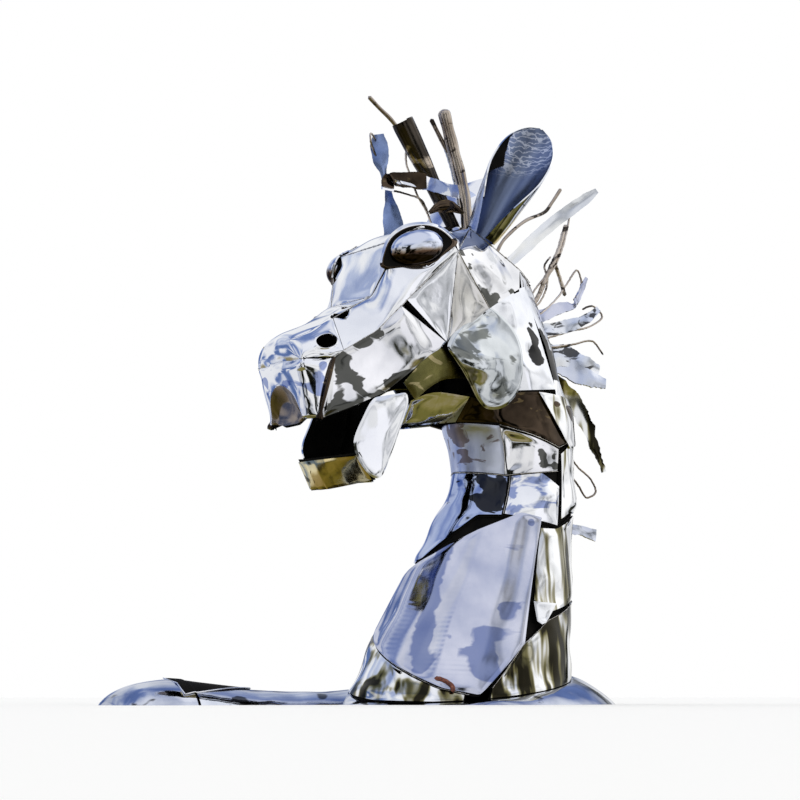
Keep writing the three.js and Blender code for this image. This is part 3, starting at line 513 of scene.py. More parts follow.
def hammered(grid, seed, dents=10, depth=1.4, radii=(20, 52), waves=1.0, roll=0.5, far=None, wrap=False):
    """The grid beaten by hand: round dents in and out, each a bell curve of its own radius, over a few long
    waves. All fade out towards the edges, where the sheet rolls in a little."""
    rng = np.random.default_rng(seed)
    normals = grid_normals(grid, wrap)
    far = edge_distance(grid) if far is None else far
    flat = grid.reshape(-1, 3)
    centres = flat[rng.integers(0, len(flat), dents)]
    radius = rng.uniform(*radii, dents)
    rise = rng.normal(0, 1, dents) * depth * radius / np.mean(radii)
    push = bells(grid, centres, radius, rise)
    for direction, length, phase, height in zip(
            unit(rng.normal(0, 1, (WAVES, 3))), rng.uniform(*WAVE_MM, WAVES), rng.uniform(0, 6.3, WAVES),
            rng.uniform(0.4, 1.0, WAVES)):
        push += waves * height * np.sin(grid @ direction * (FULL_TURN / length) + phase)
    push = push * (1 - np.exp(-(far / EDGE_HOLD) ** 2)) - roll * np.exp(-(far / ROLL_REACH) ** 2)
    return grid + normals * push[..., None]


def mesh_piece(name, points, faces, materials, face_slots=None, sharp=38.0, turn_out=False):
    """A mesh object at the origin from points in millimetres and faces, shaded smooth between its sharp
    edges; where asked, the faces of each closed part are turned outward."""
    mesh = bpy.data.meshes.new(name)
    mesh.from_pydata((np.asarray(points) * MM).tolist(), [], faces)
    for made in materials:
        mesh.materials.append(made)
    if face_slots is not None:
        mesh.polygons.foreach_set("material_index", np.asarray(face_slots, np.int32))
    mesh.polygons.foreach_set("use_smooth", np.ones(len(mesh.polygons), bool))
    shell = bmesh.new()
    shell.from_mesh(mesh)
    bmesh.ops.remove_doubles(shell, verts=shell.verts, dist=1e-6)
    if turn_out:
        bmesh.ops.recalc_face_normals(shell, faces=shell.faces)
    shell.to_mesh(mesh)
    shell.free()
    mesh.validate()
    mesh.set_sharp_from_angle(angle=math.radians(sharp))
    mesh.update()
    piece = bpy.data.objects.new(name, mesh)
    bpy.context.scene.collection.objects.link(piece)
    return piece


def quads(index, wrap=False):
    """Faces between neighbouring rows and columns of point numbers; wrap joins the last row to the first."""
    a, b = (index, np.roll(index, -1, 0)) if wrap else (index[:-1], index[1:])
    return np.stack((a[:, :-1], b[:, :-1], b[:, 1:], a[:, 1:]), -1).reshape(-1, 4)


def sheet_faces(grid, thickness=SHEET, wrap=False):
    """A sheet with its outer face on the grid, its inner face a thickness below: (points, faces, slots)."""
    inner = grid - grid_normals(grid, wrap) * thickness
    top = np.arange(grid.shape[0] * grid.shape[1]).reshape(grid.shape[:2])
    low = top + top.size
    strips = [np.stack((top[:, -1], low[:, -1]), -1)]
    if not (wrap and has_pole(grid)):
        strips.append(np.stack((low[:, 0], top[:, 0]), -1))
    sides = [quads(s, wrap) for s in strips]
    if not wrap:
        sides += [quads(np.stack((top[0], low[0]), -1)), quads(np.stack((low[-1], top[-1]), -1))]
    outer, back = quads(top, wrap), quads(low, wrap)[:, ::-1]
    faces = np.concatenate([outer, *sides, back])
    slots = np.zeros(len(faces), np.int32)
    slots[len(faces) - len(back):] = 1
    return np.concatenate((grid.reshape(-1, 3), inner.reshape(-1, 3))), faces.tolist(), slots


def stands_for(piece, slot, *nodes):
    """Rides a piece on the one body and has it replace the CAD nodes it stands for; its slot is not used."""
    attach(piece, "root")
    if nodes:
        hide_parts(*nodes)
    return piece


def sheet_piece(name, grid, finish, back=None, slot="polished_sheet", nodes=(), thickness=SHEET, wrap=False):
    """A sheet below a grid as a piece, all in one finish unless its back has its own."""
    points, faces, slots = sheet_faces(grid, thickness, wrap)
    piece = mesh_piece(name, points, faces, (finish, back) if back else (finish,), slots if back else None)
    return stands_for(piece, slot, *nodes)


LINING = []


def line_behind(grid, depth=5.0, reach=4.0, spacing=14.0):
    """Keeps a coarse copy of a plate for the black lining of painted shade: sunk below it, its edges run on
    by the reach.
    """
    def spaced(count):
        steps = max(3, int(count * CELL / spacing))
        return np.unique(np.round(np.linspace(0, count - 1, steps)).astype(int))

    coarse = (grid - grid_normals(grid) * depth)[np.ix_(*map(spaced, grid.shape[:2]))]
    for _ in range(2):
        first = coarse[0] + unit(coarse[0] - coarse[1]) * reach
        last = coarse[-1] + unit(coarse[-1] - coarse[-2]) * reach
        coarse = np.swapaxes(np.concatenate((first[None], coarse, last[None])), 0, 1)
    LINING.append(coarse)


# Marks of the head: on the muzzle's sides and the cheek shields they lay painted reflections of dark
# surroundings, on the muzzle cap painted reflections of blue sky, elsewhere soot and tint; middle as x,
# half-width and z, radius, strength
HEAD_MARKS = {
    "muzzle_side": [
        ((-346, 86, 612), 17, 0.3), ((-342, 86, 588), 22, 0.34), ((-346, 86, 560), 22, 0.34),
        ((-352, 82, 530), 20, 0.34), ((-360, 80, 506), 17, 0.34), ((-314, 92, 634), 18, 0.3),
        ((-292, 95, 650), 20, 0.38), ((-270, 97, 664), 17, 0.36), ((-312, 92, 576), 20, 0.3),
        ((-296, 92, 548), 21, 0.34), ((-256, 94, 556), 20, 0.36), ((-226, 97, 566), 24, 0.44),
        ((-200, 99, 580), 26, 0.44), ((-322, 86, 518), 17, 0.32), ((-262, 94, 612), 14, 0.28),
        ((-170, 102, 616), 17, 0.32)],
    "cheek_shield": [
        ((-84, 114, 634), 24, 0.3), ((-64, 114, 606), 20, 0.28), ((10, 112, 604), 24, 0.3),
        ((0, 112, 570), 22, 0.28), ((32, 112, 646), 20, 0.28), ((-70, 114, 676), 26, 0.3),
        ((-34, 108, 694), 22, 0.3), ((-104, 112, 652), 18, 0.28)],
    "poll_plate": [
        ((-82, 106, 836), 11, 0.36), ((-64, 107, 812), 11, 0.36), ((-46, 107, 786), 13, 0.36),
        ((-28, 106, 764), 16, 0.4), ((-8, 104, 746), 15, 0.4), ((8, 101, 762), 13, 0.36),
        ((58, 88, 786), 14, 0.36), ((-52, 96, 838), 9, 0.36)],
    "temple": [
        ((-66, 108, 691), 12, 0.3), ((-46, 108, 716), 10, 0.3), ((-85, 108, 679), 10, 0.3)],
    "muzzle_cap": [
        ((-388, 80, 574), 18, 0.31), ((-386, 80, 552), 16, 0.31), ((-378, 82, 598), 11, 0.3),
        ((-418, 12, 594), 13, 0.31), ((-416, 22, 566), 13, 0.31), ((-420, -44, 580), 15, 0.3)],
}
# Marks of the neck: angle and height of the middle, radius, strength
NECK_MARKS = {
    "collar_band_front": [
        ((44, 400), 24, 0.42), ((31, 421), 14, 0.4), ((27, 386), 10, 0.38), ((50, 374), 20, 0.42),
        ((39, 374), 16, 0.4), ((50, 416), 14, 0.4)],
    "throat_band_front": [
        ((4, 518), 20, 0.34), ((6, 494), 20, 0.34), ((10, 466), 16, 0.32)],
    "throat_band_side": [
        ((86, 476), 15, 0.44), ((87, 457), 15, 0.44), ((99, 470), 10, 0.4), ((101, 452), 11, 0.42)],
    "collar_band_side": [
        ((62, 424), 20, 0.22), ((76, 428), 19, 0.22), ((90, 424), 15, 0.2), ((60, 396), 20, 0.22),
        ((86, 398), 15, 0.2), ((64, 366), 19, 0.22)],
    "nape_rear_left": [
        ((116, 702), 20, 0.44), ((120, 682), 27, 0.46), ((123, 658), 26, 0.46), ((124, 636), 20, 0.44)],
    "nape_high_left": [
        ((97, 658), 19, 0.42), ((98, 680), 17, 0.42), ((99, 706), 15, 0.38), ((100, 728), 13, 0.36)],
    # the big plate's marks lay a band of blue painted reflection of the sky
    "neck_big_plate": [((18 + 1.4 * k, 308 - 20 * k), 19, 0.3) for k in range(13)]
                      + [((64, 124), 30, 0.4), ((67, 92), 30, 0.4), ((68, 56), 26, 0.4),
                         ((74, 172), 22, 0.4), ((46, 120), 9, 0.42), ((80, 338), 9, 0.42)],
}


MARK_LIFT = 3.0


def mark(piece, node_name):
    """Writes a piece's marks, soot on some pieces and painted reflections on others: a sum of bell curves,
    one round the middle of each of its marks.
    """
    mesh = piece.data
    points = np.empty(len(mesh.vertices) * 3)
    mesh.vertices.foreach_get("co", points)
    points = points.reshape(-1, 3) / MM
    side = RIGHT if node_name.endswith("_right") else LEFT
    of_head = HEAD_MARKS.get(node_name.rsplit("_", 1)[0], HEAD_MARKS.get(node_name, []))
    marks = [((x, side * y, z), radius, strength) for (x, y, z), radius, strength in of_head]
    marks += [(neck_surface(np.array(pair, float), MARK_LIFT), radius, strength)
              for pair, radius, strength in NECK_MARKS.get(node_name, [])]
    soot_and_painted_light = bells(points, *zip(*marks)) if marks else np.zeros(len(points))
    mesh.attributes.new("soot_and_painted_light", "FLOAT", "POINT").data.foreach_set("value", soot_and_painted_light)
    return piece


def plate(node_name, grid, inside=None, front=POLISHED, wrap=False):
    """A hammered plate that stands for its CAD node; behind all but the round ones goes a black lining of
    painted shade.
    """
    if not wrap:
        grid = faced(grid, inside)
        line_behind(grid)
    points, faces, slots = sheet_faces(grid, SHEET, wrap)
    piece = mesh_piece("hammered_" + node_name, points, faces, (front, SHADE_BLACK), slots)
    return stands_for(mark(piece, node_name), "polished_sheet", node_name)


def tube_grid(path, radius, sides=10):
    """A round section carried along a path: circles square to it, turned from one steady side direction."""
    path = np.asarray(path, float)
    tangent = unit(np.gradient(path, axis=0))
    steady = np.eye(3)[np.argmin(np.abs(tangent).mean(0))]
    over = unit(np.cross(tangent, steady))
    out = np.cross(over, tangent)
    turn = np.linspace(0, FULL_TURN, sides, endpoint=False)
    radius = np.broadcast_to(np.asarray(radius, float), (len(path),))
    ring = over[:, None] * np.cos(turn)[:, None] + out[:, None] * np.sin(turn)[:, None]
    return path[:, None] + ring * radius[:, None, None]


def tube_faces(grid, start=0):
    """Faces of a closed tube: rings joined in turn, and one many-sided face across each end."""
    index = np.arange(grid.shape[0] * grid.shape[1]).reshape(grid.shape[:2]) + start
    around = np.concatenate((index, index[:, :1]), 1)
    return quads(around)[:, ::-1].tolist() + [index[0].tolist(), index[-1][::-1].tolist()]


def tubes_piece(name, grids, made, slot, *nodes):
    """Several closed tubes as one piece."""
    points, faces, start = [], [], 0
    for grid in grids:
        points.append(grid.reshape(-1, 3))
        faces += tube_faces(grid, start)
        start += grid.shape[0] * grid.shape[1]
    return stands_for(mesh_piece(name, np.concatenate(points), faces, (made,), turn_out=True), slot, *nodes)


def run_along(points):
    """The length run from the first point to each, by straight lines."""
    return np.concatenate(((0.0,), np.cumsum(np.linalg.norm(np.diff(points, axis=0), axis=-1))))


def curve(points, step=4.0):
    """A smooth curve through points, as a cubic in each coordinate against the length run so far."""
    points = np.asarray(points, float)
    run = run_along(points)
    count = max(4, int(run[-1] / step))
    s = np.linspace(0, run[-1], count + 1)
    return np.stack([smooth(np.stack((run, points[:, k]), -1), s) for k in range(3)], -1)


def blunt(path, radius, end=0.8):
    """Radii that round off both ends of a rod, each over a share of its own radius."""
    run = run_along(path)
    left = np.clip(np.minimum(run, run[-1] - run) / (radius * end), 0, 1)
    return radius * np.sqrt(np.clip(1 - (1 - left) ** 2, 0.03, 1))


# How many neighbours a torn edge is averaged over, and the root of that, which keeps its spread
TORN_RUN, TORN_SPREAD = 6, 2.45


def ribbon(points, widths, across, across_end=None, seed=0, ragged=0.7, cup=0.0, cell=3.0):
    """A flat bar along a curve: a straight line across it at each point, turning evenly from one direction to
    another, with torn edges and a hollow across."""
    path = curve(points, cell)
    t = np.linspace(0, 1, len(path))
    first, last = np.asarray(across, float), np.asarray(across_end or across, float)
    side = first + (last - first) * t[:, None]
    tangent = unit(np.gradient(path, axis=0))
    side = unit(side - (side * tangent).sum(-1, keepdims=True) * tangent)
    rng = np.random.default_rng(seed)
    half = smooth(widths, t) / 2
    count = max(6, int(half.max() * 2 / cell))
    v = np.linspace(-1, 1, count + 1)
    torn = rng.normal(0, 1, (len(path), 2))
    torn = sum(np.roll(torn, k, 0) for k in range(TORN_RUN)) / TORN_SPREAD * ragged
    reach = np.where(v < 0, half[:, None] + torn[:, :1], half[:, None] + torn[:, 1:]) * v
    face = np.cross(tangent, side)
    bow = cup * (1 - v ** 2) + 0.7 * np.sin(t[:, None] * 9 + seed) * np.cos(v * 2)
    return path[:, None] + side[:, None] * reach[..., None] + face[:, None] * bow[..., None]


def strip(name, grid, finish, *nodes):
    """A torn strip of bar, its broad face turned to the horse's left."""
    grid = faced(grid, np.array((0.0, FAR, 0.0)))
    return sheet_piece(name, grid, finish, slot="mane_bar", nodes=nodes, thickness=BAR)


def bar(node_name, grid, finish):
    """A strip that stands for its CAD node."""
    return strip("torn_" + node_name, grid, finish, node_name)


def loop(points, count):
    """A smooth closed curve through points: a cubic in each coordinate against the length run round them."""
    points = np.asarray(points, float)
    ring = np.concatenate((points[-3:], points, points[:3]))
    run = run_along(ring)
    s = np.linspace(run[3], run[3 + len(points)], count + 1)[:-1]
    return np.stack([smooth(np.stack((run, ring[:, k]), -1), s) for k in range(3)], -1)


def leaf(outline, middle, inside, seed, crown=8.0, around=120, rings=26, **beating):
    """A rounded plate: rays from its middle to a smooth closed outline, raised by a bowl that is highest in
    the middle and falls with the square of the distance, then beaten."""
    edge, middle = loop(outline, around), np.asarray(middle, float)
    s = np.linspace(0, 1, rings + 1) ** 0.85
    grid = faced(middle + (edge - middle)[:, None] * s[:, None], np.asarray(inside, float), wrap=True)
    up = grid_normals(grid, wrap=True)[:, :1].mean(0)
    size = np.linalg.norm(grid[:, -1] - middle, axis=-1)
    grid = grid + up * (crown * (1 - s ** 2))[None, :, None]
    return hammered(grid, seed, far=(1 - s)[None, :] * size[:, None], wrap=True, **beating)


# Head

def side_rail(words, side):
    """The named corners on one side, in turn."""
    return [corner(word, side) for word in words.split()]


HEAD_FINISH = {"muzzle_side": PATCHED, "poll_plate": PATCHED, "temple": HAZED}
FACE_NOTCH = ((0.04, 0.30, 0.44), (0.0, 19.0, 0.0))

# Plates that come in pairs: name, upper rail, lower rail, crown, how they are beaten
PAIRED_PLATES = [
    ("face_plate", "noseRidge browFront eyeFront eyeLow eyeBack",
     "seamFront seamMiddle cheekFront cheekBrow templeTop",
     5.0, dict(dents=12, depth=1.5, radii=(22, 50), waves=1.0)),
    ("muzzle_side", "muzzleRearTop seamFront seamMiddle slitTop",
     "muzzleRearLow mouthMiddle mouthCorner slitLow",
     4.0, dict(dents=22, depth=3.4, radii=(22, 46), waves=1.6)),
    ("upper_cheek", "cheekFront templeTop", "slitLow slitLow", 2.0,
     dict(dents=7, depth=1.2, radii=(22, 50), waves=0.9)),
    ("temple", "templeTop cheekTop", "slitLow slitLow", 2.0,
     dict(dents=9, depth=1.6, radii=(16, 40), waves=0.9)),
    ("poll_plate", "templeTop templeMiddle cheekTop", "pollFront pollRear pollRearLow",
     3.0, dict(dents=36, depth=2.6, radii=(14, 34), waves=1.2)),
]

for order, (plate_name, upper, lower, height, beating) in enumerate(PAIRED_PLATES):
    for side in (LEFT, RIGHT):
        notch = FACE_NOTCH if plate_name == "face_plate" and side == LEFT else None
        shape = faced(ruled(side_rail(upper, side), side_rail(lower, side), notch_a=notch), HEAD_MIDDLE)
        shape = hammered(crowned(relaxed(shape, 160), height), 100 + 10 * order + side, **beating)
        plate(f"{plate_name}_{SIDE_NAMES[side]}", shape, HEAD_MIDDLE, HEAD_FINISH.get(plate_name, POLISHED))


def spanning(node_name, words, height, seed, notch_a=None, gap=SEAM, **beating):
    """A plate that spans the head from its left rail of corners to its right one."""
    shape = ruled(side_rail(words, LEFT), side_rail(words, RIGHT), gap=gap, notch_a=notch_a)
    shape = relaxed(faced(shape, HEAD_MIDDLE), 120)
    shape = softened(hammered(crowned(shape, height), seed, **beating))
    return plate(node_name, shape, HEAD_MIDDLE)


BRIDGE_NOTCH = ((1.98, 2.14, 2.42), (0.0, 20.0, 0.0))
spanning("nose_bridge", "muzzleCorner noseTip noseRidge browFront", 4.0, 201, gap=TIGHT_SEAM,
         notch_a=BRIDGE_NOTCH, dents=20, depth=1.9, radii=(16, 40), waves=0.8)
spanning("forehead", "browFront browMiddle browTop", 6.0, 202, dents=6, depth=1.2, radii=(34, 64), waves=1.0)
spanning("crown_plate", "browTop eyeTop eyeBackTop pollFront pollRear pollEnd", 18.0, 203, gap=SEAM + 0.6,
         dents=26, depth=1.8, radii=(16, 44), waves=0.8)

NOSTRIL_RADII = (23.0, 13.5)
NOSTRIL_RAYS, NOSTRIL_RINGS = 96, 26
NOSTRIL_LIP, NOSTRIL_LIP_REACH = 2.2, 0.16


def nostril_plate(side):
    """The nostril plate: rays from the nostril's oval rim out to the plate's four edges, laid on the beaten
    plate, with a low lip round the hole."""
    rails = side_rail("noseTip noseRidge", side), side_rail("muzzleCorner seamFront", side)
    sheet = crowned(faced(ruled(*rails, gap=TIGHT_SEAM, cell=2.0), HEAD_MIDDLE), 5.0)
    sheet = softened(hammered(sheet, 210 + side, dents=12, depth=1.7, radii=(14, 30), waves=0.7))
    middle = np.array((-366.0, side * 66.0, 637.0))
    spot = np.unravel_index(np.argmin(((sheet - middle) ** 2).sum(-1)), sheet.shape[:2])
    counts = np.array(sheet.shape[:2]) - 1
    centre = np.array(spot) / counts
    spans = np.array((np.linalg.norm(np.diff(sheet, axis=0), axis=-1).sum(0).mean(),
                      np.linalg.norm(np.diff(sheet, axis=1), axis=-1).sum(1).mean()))
    radii = np.array(NOSTRIL_RADII) / spans
    square = np.array(((0, 0), (1, 0), (1, 1), (0, 1)))
    to_corner = (square - centre) / radii
    turn = np.sort(np.concatenate((np.linspace(-math.pi, math.pi, NOSTRIL_RAYS, endpoint=False),
                                   np.arctan2(to_corner[:, 1], to_corner[:, 0]))))
    ray = np.stack((np.cos(turn), np.sin(turn)), -1) * radii
    with np.errstate(divide="ignore"):
        reach = np.where(ray > 0, (1 - centre) / ray, np.where(ray < 0, -centre / ray, np.inf)).min(-1)
    s = np.linspace(0, 1, NOSTRIL_RINGS) ** 1.3
    uv = centre + ray[:, None] * (1 + (reach[:, None] - 1) * s)[..., None]
    uv = np.clip(uv, 0, 1) * counts
    low = np.minimum(uv.astype(int), counts - 1)
    i, j = low[..., 0], low[..., 1]
    fi, fj = (uv - low)[..., :1], (uv - low)[..., 1:]
    ring = (sheet[i, j] * (1 - fi) * (1 - fj) + sheet[i + 1, j] * fi * (1 - fj)
            + sheet[i, j + 1] * (1 - fi) * fj + sheet[i + 1, j + 1] * fi * fj)
    ring = faced(ring, HEAD_MIDDLE, wrap=True)
    lip = NOSTRIL_LIP * np.exp(-(s / NOSTRIL_LIP_REACH) ** 2)
    ring = ring + grid_normals(ring, wrap=True) * lip[None, :, None]
    return plate(f"nostril_plate_{SIDE_NAMES[side]}", ring, wrap=True)


for side in (LEFT, RIGHT):
    nostril_plate(side)

# The arch pressed into the muzzle's front: its middle, half-width, foot and height, and the x where it ends
ARCH_MIDDLE, ARCH_HALF_WIDTH, ARCH_FOOT, ARCH_HEIGHT, ARCH_REAR = -2, 50, 494, 72, -384


def muzzle_cap():
    """The muzzle's U-shaped front, with an arch pressed in over the upper lip, leaning in to the mouth."""
    top, low = [[corner(rear, LEFT), corner(front, LEFT), corner(front, RIGHT), corner(rear, RIGHT)]
                for rear, front in (("muzzleRearTop", "muzzleCorner"), ("muzzleRearLow", "lipCorner"))]
    shape = faced(ruled(top, low, gap=TIGHT_SEAM, cell=2.0), np.array((-330.0, 0.0, 560.0)))
    bent = shape.copy()
    for _ in range(70):
        bent[1:-1] = (bent[:-2] + 2 * bent[1:-1] + bent[2:]) / 4
    shape = shape + (bent - shape) * np.clip(np.linspace(0, 5, shape.shape[1]), 0, 1)[None, :, None]
    shape = softened(hammered(shape, 223, dents=26, depth=2.4, radii=(20, 40), waves=1.2))
    across = (shape[..., 1] - ARCH_MIDDLE) / ARCH_HALF_WIDTH
    arch = np.clip(1 - across ** 2, 0, None) ** 0.5 * ARCH_HEIGHT
    press = np.clip(arch - (shape[..., 2] - ARCH_FOOT), 0, None) * (shape[..., 0] < ARCH_REAR)
    shape[..., 0] += np.minimum(0.3 * press, 6 + 0.1 * press)
    line_behind(shape)
    points, faces, slots = sheet_faces(shape)
    pressed = (press[:-1, :-1] > 0.5).reshape(-1)
    slots[:pressed.size] = np.where(pressed, 2, 0)
    piece = mesh_piece("hammered_muzzle_cap", points, faces, (BLUE_PATCHED, SHADE_BLACK, SCALED), slots)
    return stands_for(mark(piece, "muzzle_cap"), "polished_sheet", "muzzle_cap")


muzzle_cap()

JAW_OUTLINE = [(-216, 559), (-244, 553), (-268, 545), (-290, 509), (-307, 467), (-299, 439), (-277, 414),
               (-258, 403),
               (-242, 407), (-224, 445), (-204, 498), (-189, 544), (-194, 562)]
SHIELD_OUTLINE = [(-22, 744), (27, 722), (54, 685), (60, 637), (53, 592), (33, 562), (10, 549), (-22, 547),
                  (-47, 563), (-70, 590), (-90, 613), (-110, 634), (-124, 652), (-104, 682), (-64, 716)]
# The jaws' half-width grows by 7 mm in 100 from the chin up
CHIN_HEIGHT, JAW_SPREAD = 403, 0.07
# The shield's level fold, and the height at which it bulges most
SHIELD_FOLD, SHIELD_BULGE, SHIELD_RINGS = 655, 640, 40


def jaw_side(side):
    """The leaf-shaped side of the lower jaw, leaning out from the chin up."""
    forward = RIGHT_JAW_FORWARD if side == RIGHT else 0.0
    outline = [(x - forward, side * (70 + JAW_SPREAD * (z - CHIN_HEIGHT)), z) for x, z in JAW_OUTLINE]
    shape = leaf(outline, (-252 - forward, side * 76, 478), (-245, 0, 480), 230 + side, crown=7.0, dents=5,
                 depth=1.3, radii=(20, 44), waves=0.7)
    return plate(f"jaw_side_{SIDE_NAMES[side]}", shape, wrap=True)


def cheek_shield(side):
    """The rounded shield over the cheek, standing proud of the plates round it: its lower leaf bulges, its
    half-width falling off as the square of the height; above a level fold it leans in."""
    def half_width(z):
        return 116 - 12 * ((min(z, SHIELD_FOLD) - SHIELD_BULGE) / 90) ** 2 - 0.14 * max(z - SHIELD_FOLD, 0)

    outline = [(x, side * half_width(z), z) for x, z in SHIELD_OUTLINE]
    shape = leaf(outline, (-18, side * 116, SHIELD_BULGE), HEAD_MIDDLE + (160, 0, -50), 240 + side, crown=5.0,
                 rings=SHIELD_RINGS, dents=20, depth=2.4, radii=(15, 36), waves=1.1, roll=2.5)
    lean = np.clip(shape[..., 2] - SHIELD_FOLD, 0, None) * 0.1
    shape[..., 1] -= side * lean * (1 - np.linspace(0, 1, SHIELD_RINGS + 1)[None, :] ** 3)
    return plate(f"cheek_shield_{SIDE_NAMES[side]}", shape, front=REFLECTION_PATCHED, wrap=True)


JOWL_TOP_EDGE = [(-206, 88, 580), (-170, 98, 622), (-122, 104, 654), (-90, 104, 646), (-40, 102, 632)]
JOWL_LOW_EDGE = [(-170, 77, 551), (-152, 80, 568), (-135, 82, 581), (-114, 83, 593), (-90, 84, 599),
                 (-50, 84, 602)]
THROAT_TOP_EDGE = [(-178, 74, 551), (-146, 80, 566), (-118, 81, 572), (-89, 81, 572), (-45, 82, 570)]
THROAT_KEEL = [(-172, 36, 509), (-142, 37, 512), (-113, 37, 515), (-82, 38, 520), (-46, 40, 526)]


def mirrored(points, side):
    """Points given with a half-width, laid off to one side."""
    return [np.array((x, side * y, z), float) for x, y, z in points]


def resampled(points, count):
    """Points of a smooth curve through the given ones, evenly spaced."""
    path = curve(points, 1.0)
    return path[np.round(np.linspace(0, len(path) - 1, count)).astype(int)]


def throat_plate(side):
    """The throat plate: an upper leaf from the jowl down to a curved edge and a lower leaf from a flatter
    curve down to the keel, with a lens-shaped slit between the two; they meet at the front."""
    inside = np.array((-110.0, 0.0, 640.0))
    leaves = []
    for order, edges in enumerate(((JOWL_TOP_EDGE, JOWL_LOW_EDGE), (THROAT_TOP_EDGE, THROAT_KEEL))):
        upper, lower = [resampled(mirrored(edge, side), 9) for edge in edges]
        shape = crowned(faced(ruled(upper, lower), inside), 2.0)
        shape = hammered(shape, 250 + side + 5 * order, dents=8, depth=1.2, radii=(18, 44), waves=0.7)
        leaves.append(sheet_faces(shape))
    (upper_points, upper_faces, upper_slots), (low_points, low_faces, low_slots) = leaves
    # the upper leaf's face takes the olive painted reflection
    upper_slots[upper_slots == 0] = 2
    faces = upper_faces + [[k + len(upper_points) for k in face] for face in low_faces]
    name = f"throat_plate_{SIDE_NAMES[side]}"
    piece = mesh_piece("hammered_" + name, np.concatenate((upper_points, low_points)), faces,
                       (POLISHED, SHADE_BLACK, OLIVE_REFLECTION), np.concatenate((upper_slots, low_slots)))
    return stands_for(piece, "polished_sheet", name)


for side in (LEFT, RIGHT):
    jaw_side(side)
    cheek_shield(side)
    throat_plate(side)

chin_inside = np.array((-230.0, 0.0, 500.0))
CHIN_TOP = [(-299, -74, 440), (-316, -20, 440), (-326, 30, 440), (-326, 76, 441)]
CHIN_LOW = [(-262, -68, 399), (-282, -20, 392), (-298, 30, 388), (-302, 72, 391)]
chin = faced(ruled(resampled(CHIN_TOP, 7), resampled(CHIN_LOW, 7), cell=2.4), chin_inside)
chin = hammered(crowned(chin, 3.0), 261, dents=8, depth=0.5, radii=(14, 30), waves=0.3)
plate("chin_plate", chin, chin_inside, STRAW)

# The mouth's rear and floor, x and z; on the left it stops short of the chin plate
MOUTH_PROFILE = [(-196, 556), (-207, 505), (-226, 446), (-245, 409), (-268, 401), (-290, 396)]
MOUTH_LEFT_END = -254


def jaw_inside():
    """The rear and the floor of the mouth: a sheet from jaw to jaw that runs down the jaws' rear edges and
    forward under the chin."""
    rails = [[np.array((x - RIGHT_JAW_FORWARD if side == RIGHT else max(x, MOUTH_LEFT_END),
                        side * (66 + JAW_SPREAD * (z - CHIN_HEIGHT)), z))
              for x, z in MOUTH_PROFILE] for side in (LEFT, RIGHT)]
    shape = faced(ruled(*rails, cell=4.0), np.array((-290.0, 0.0, 470.0)))
    shape = hammered(shape, 265, dents=8, depth=1.2, radii=(16, 36))
    return sheet_piece("mouth_back_and_floor", shape, POLISHED, SHADE_BLACK)


jaw_inside()

# The eye hole's outline on one side, x and z, from the front corner round over the top
EYE_HOLE = [(-253, 791), (-247, 822), (-231, 848), (-205, 867), (-172, 876), (-144, 875), (-122, 866),
            (-108, 852),
            (-128, 831), (-149, 811), (-176, 801), (-214, 793)]
EYE_HALF_WIDTH = [(-262, 87), (-240, 93), (-229, 95), (-200, 105), (-170, 112), (-140, 115), (-100, 117)]
# The dome's half-axes along the eye, out of it and across it, and its middle on each side
EYE_HALF_AXES = (58, 27, 35)
EYE_MIDDLE = {LEFT: (-184.0, -98.0, 832.0), RIGHT: (-190.0, 106.0, 826.0)}
# Each hole's front end, and how far its outline sinks above a height: the right one is shorter and lower
EYE_FRONT_END, EYE_SINK, EYE_SINK_FROM = {LEFT: -262, RIGHT: -240}, {LEFT: 0.0, RIGHT: 0.25}, 815
EYE_RINGS, EYE_POINTS = 12, 120


def eye_plane(points, side):
    """Half-widths round the eye: a curve along x, less 12 mm for each 100 mm of height above 800."""
    points = np.asarray(points, float)
    half = smooth(EYE_HALF_WIDTH, points[:, 0]) - 0.12 * (points[:, 1] - 800)
    return np.stack((points[:, 0], side * half, points[:, 1]), -1)


def eye_dome(side):
    """The eye's egg-shaped dome: rings about a long axis from the eye's front corner to its back one."""
    run = unit(corner("eyeBack", side) - corner("eyeFront", side))
    out = unit(np.array((0, side, 0)) - run * run[1] * side)
    over = np.cross(run, out)
    turn = np.linspace(0, FULL_TURN, 96, endpoint=False)[None, :, None]
    fall = np.linspace(0.0, math.pi, 56)[:, None, None]
    along_eye, out_of_eye, across_eye = EYE_HALF_AXES
    return (np.array(EYE_MIDDLE[side]) + along_eye * np.cos(fall) * run
            + out_of_eye * np.sin(fall) * np.cos(turn) * out
            + across_eye * np.sin(fall) * np.sin(turn) * over)


def eye_ring(hole, side, reach, proud):
    """A ring about the eye hole: its outline drawn out or in by an even share, each row at its own depth."""
    s = np.linspace(0, 1, EYE_RINGS)
    heart, outward = hole.mean(0), np.array((0, side, 0))
    grid = heart + (hole - heart)[:, None] * (1 + reach * s)[..., None] + outward * proud[:, None]
    return faced(grid, heart - FAR * outward, wrap=True)


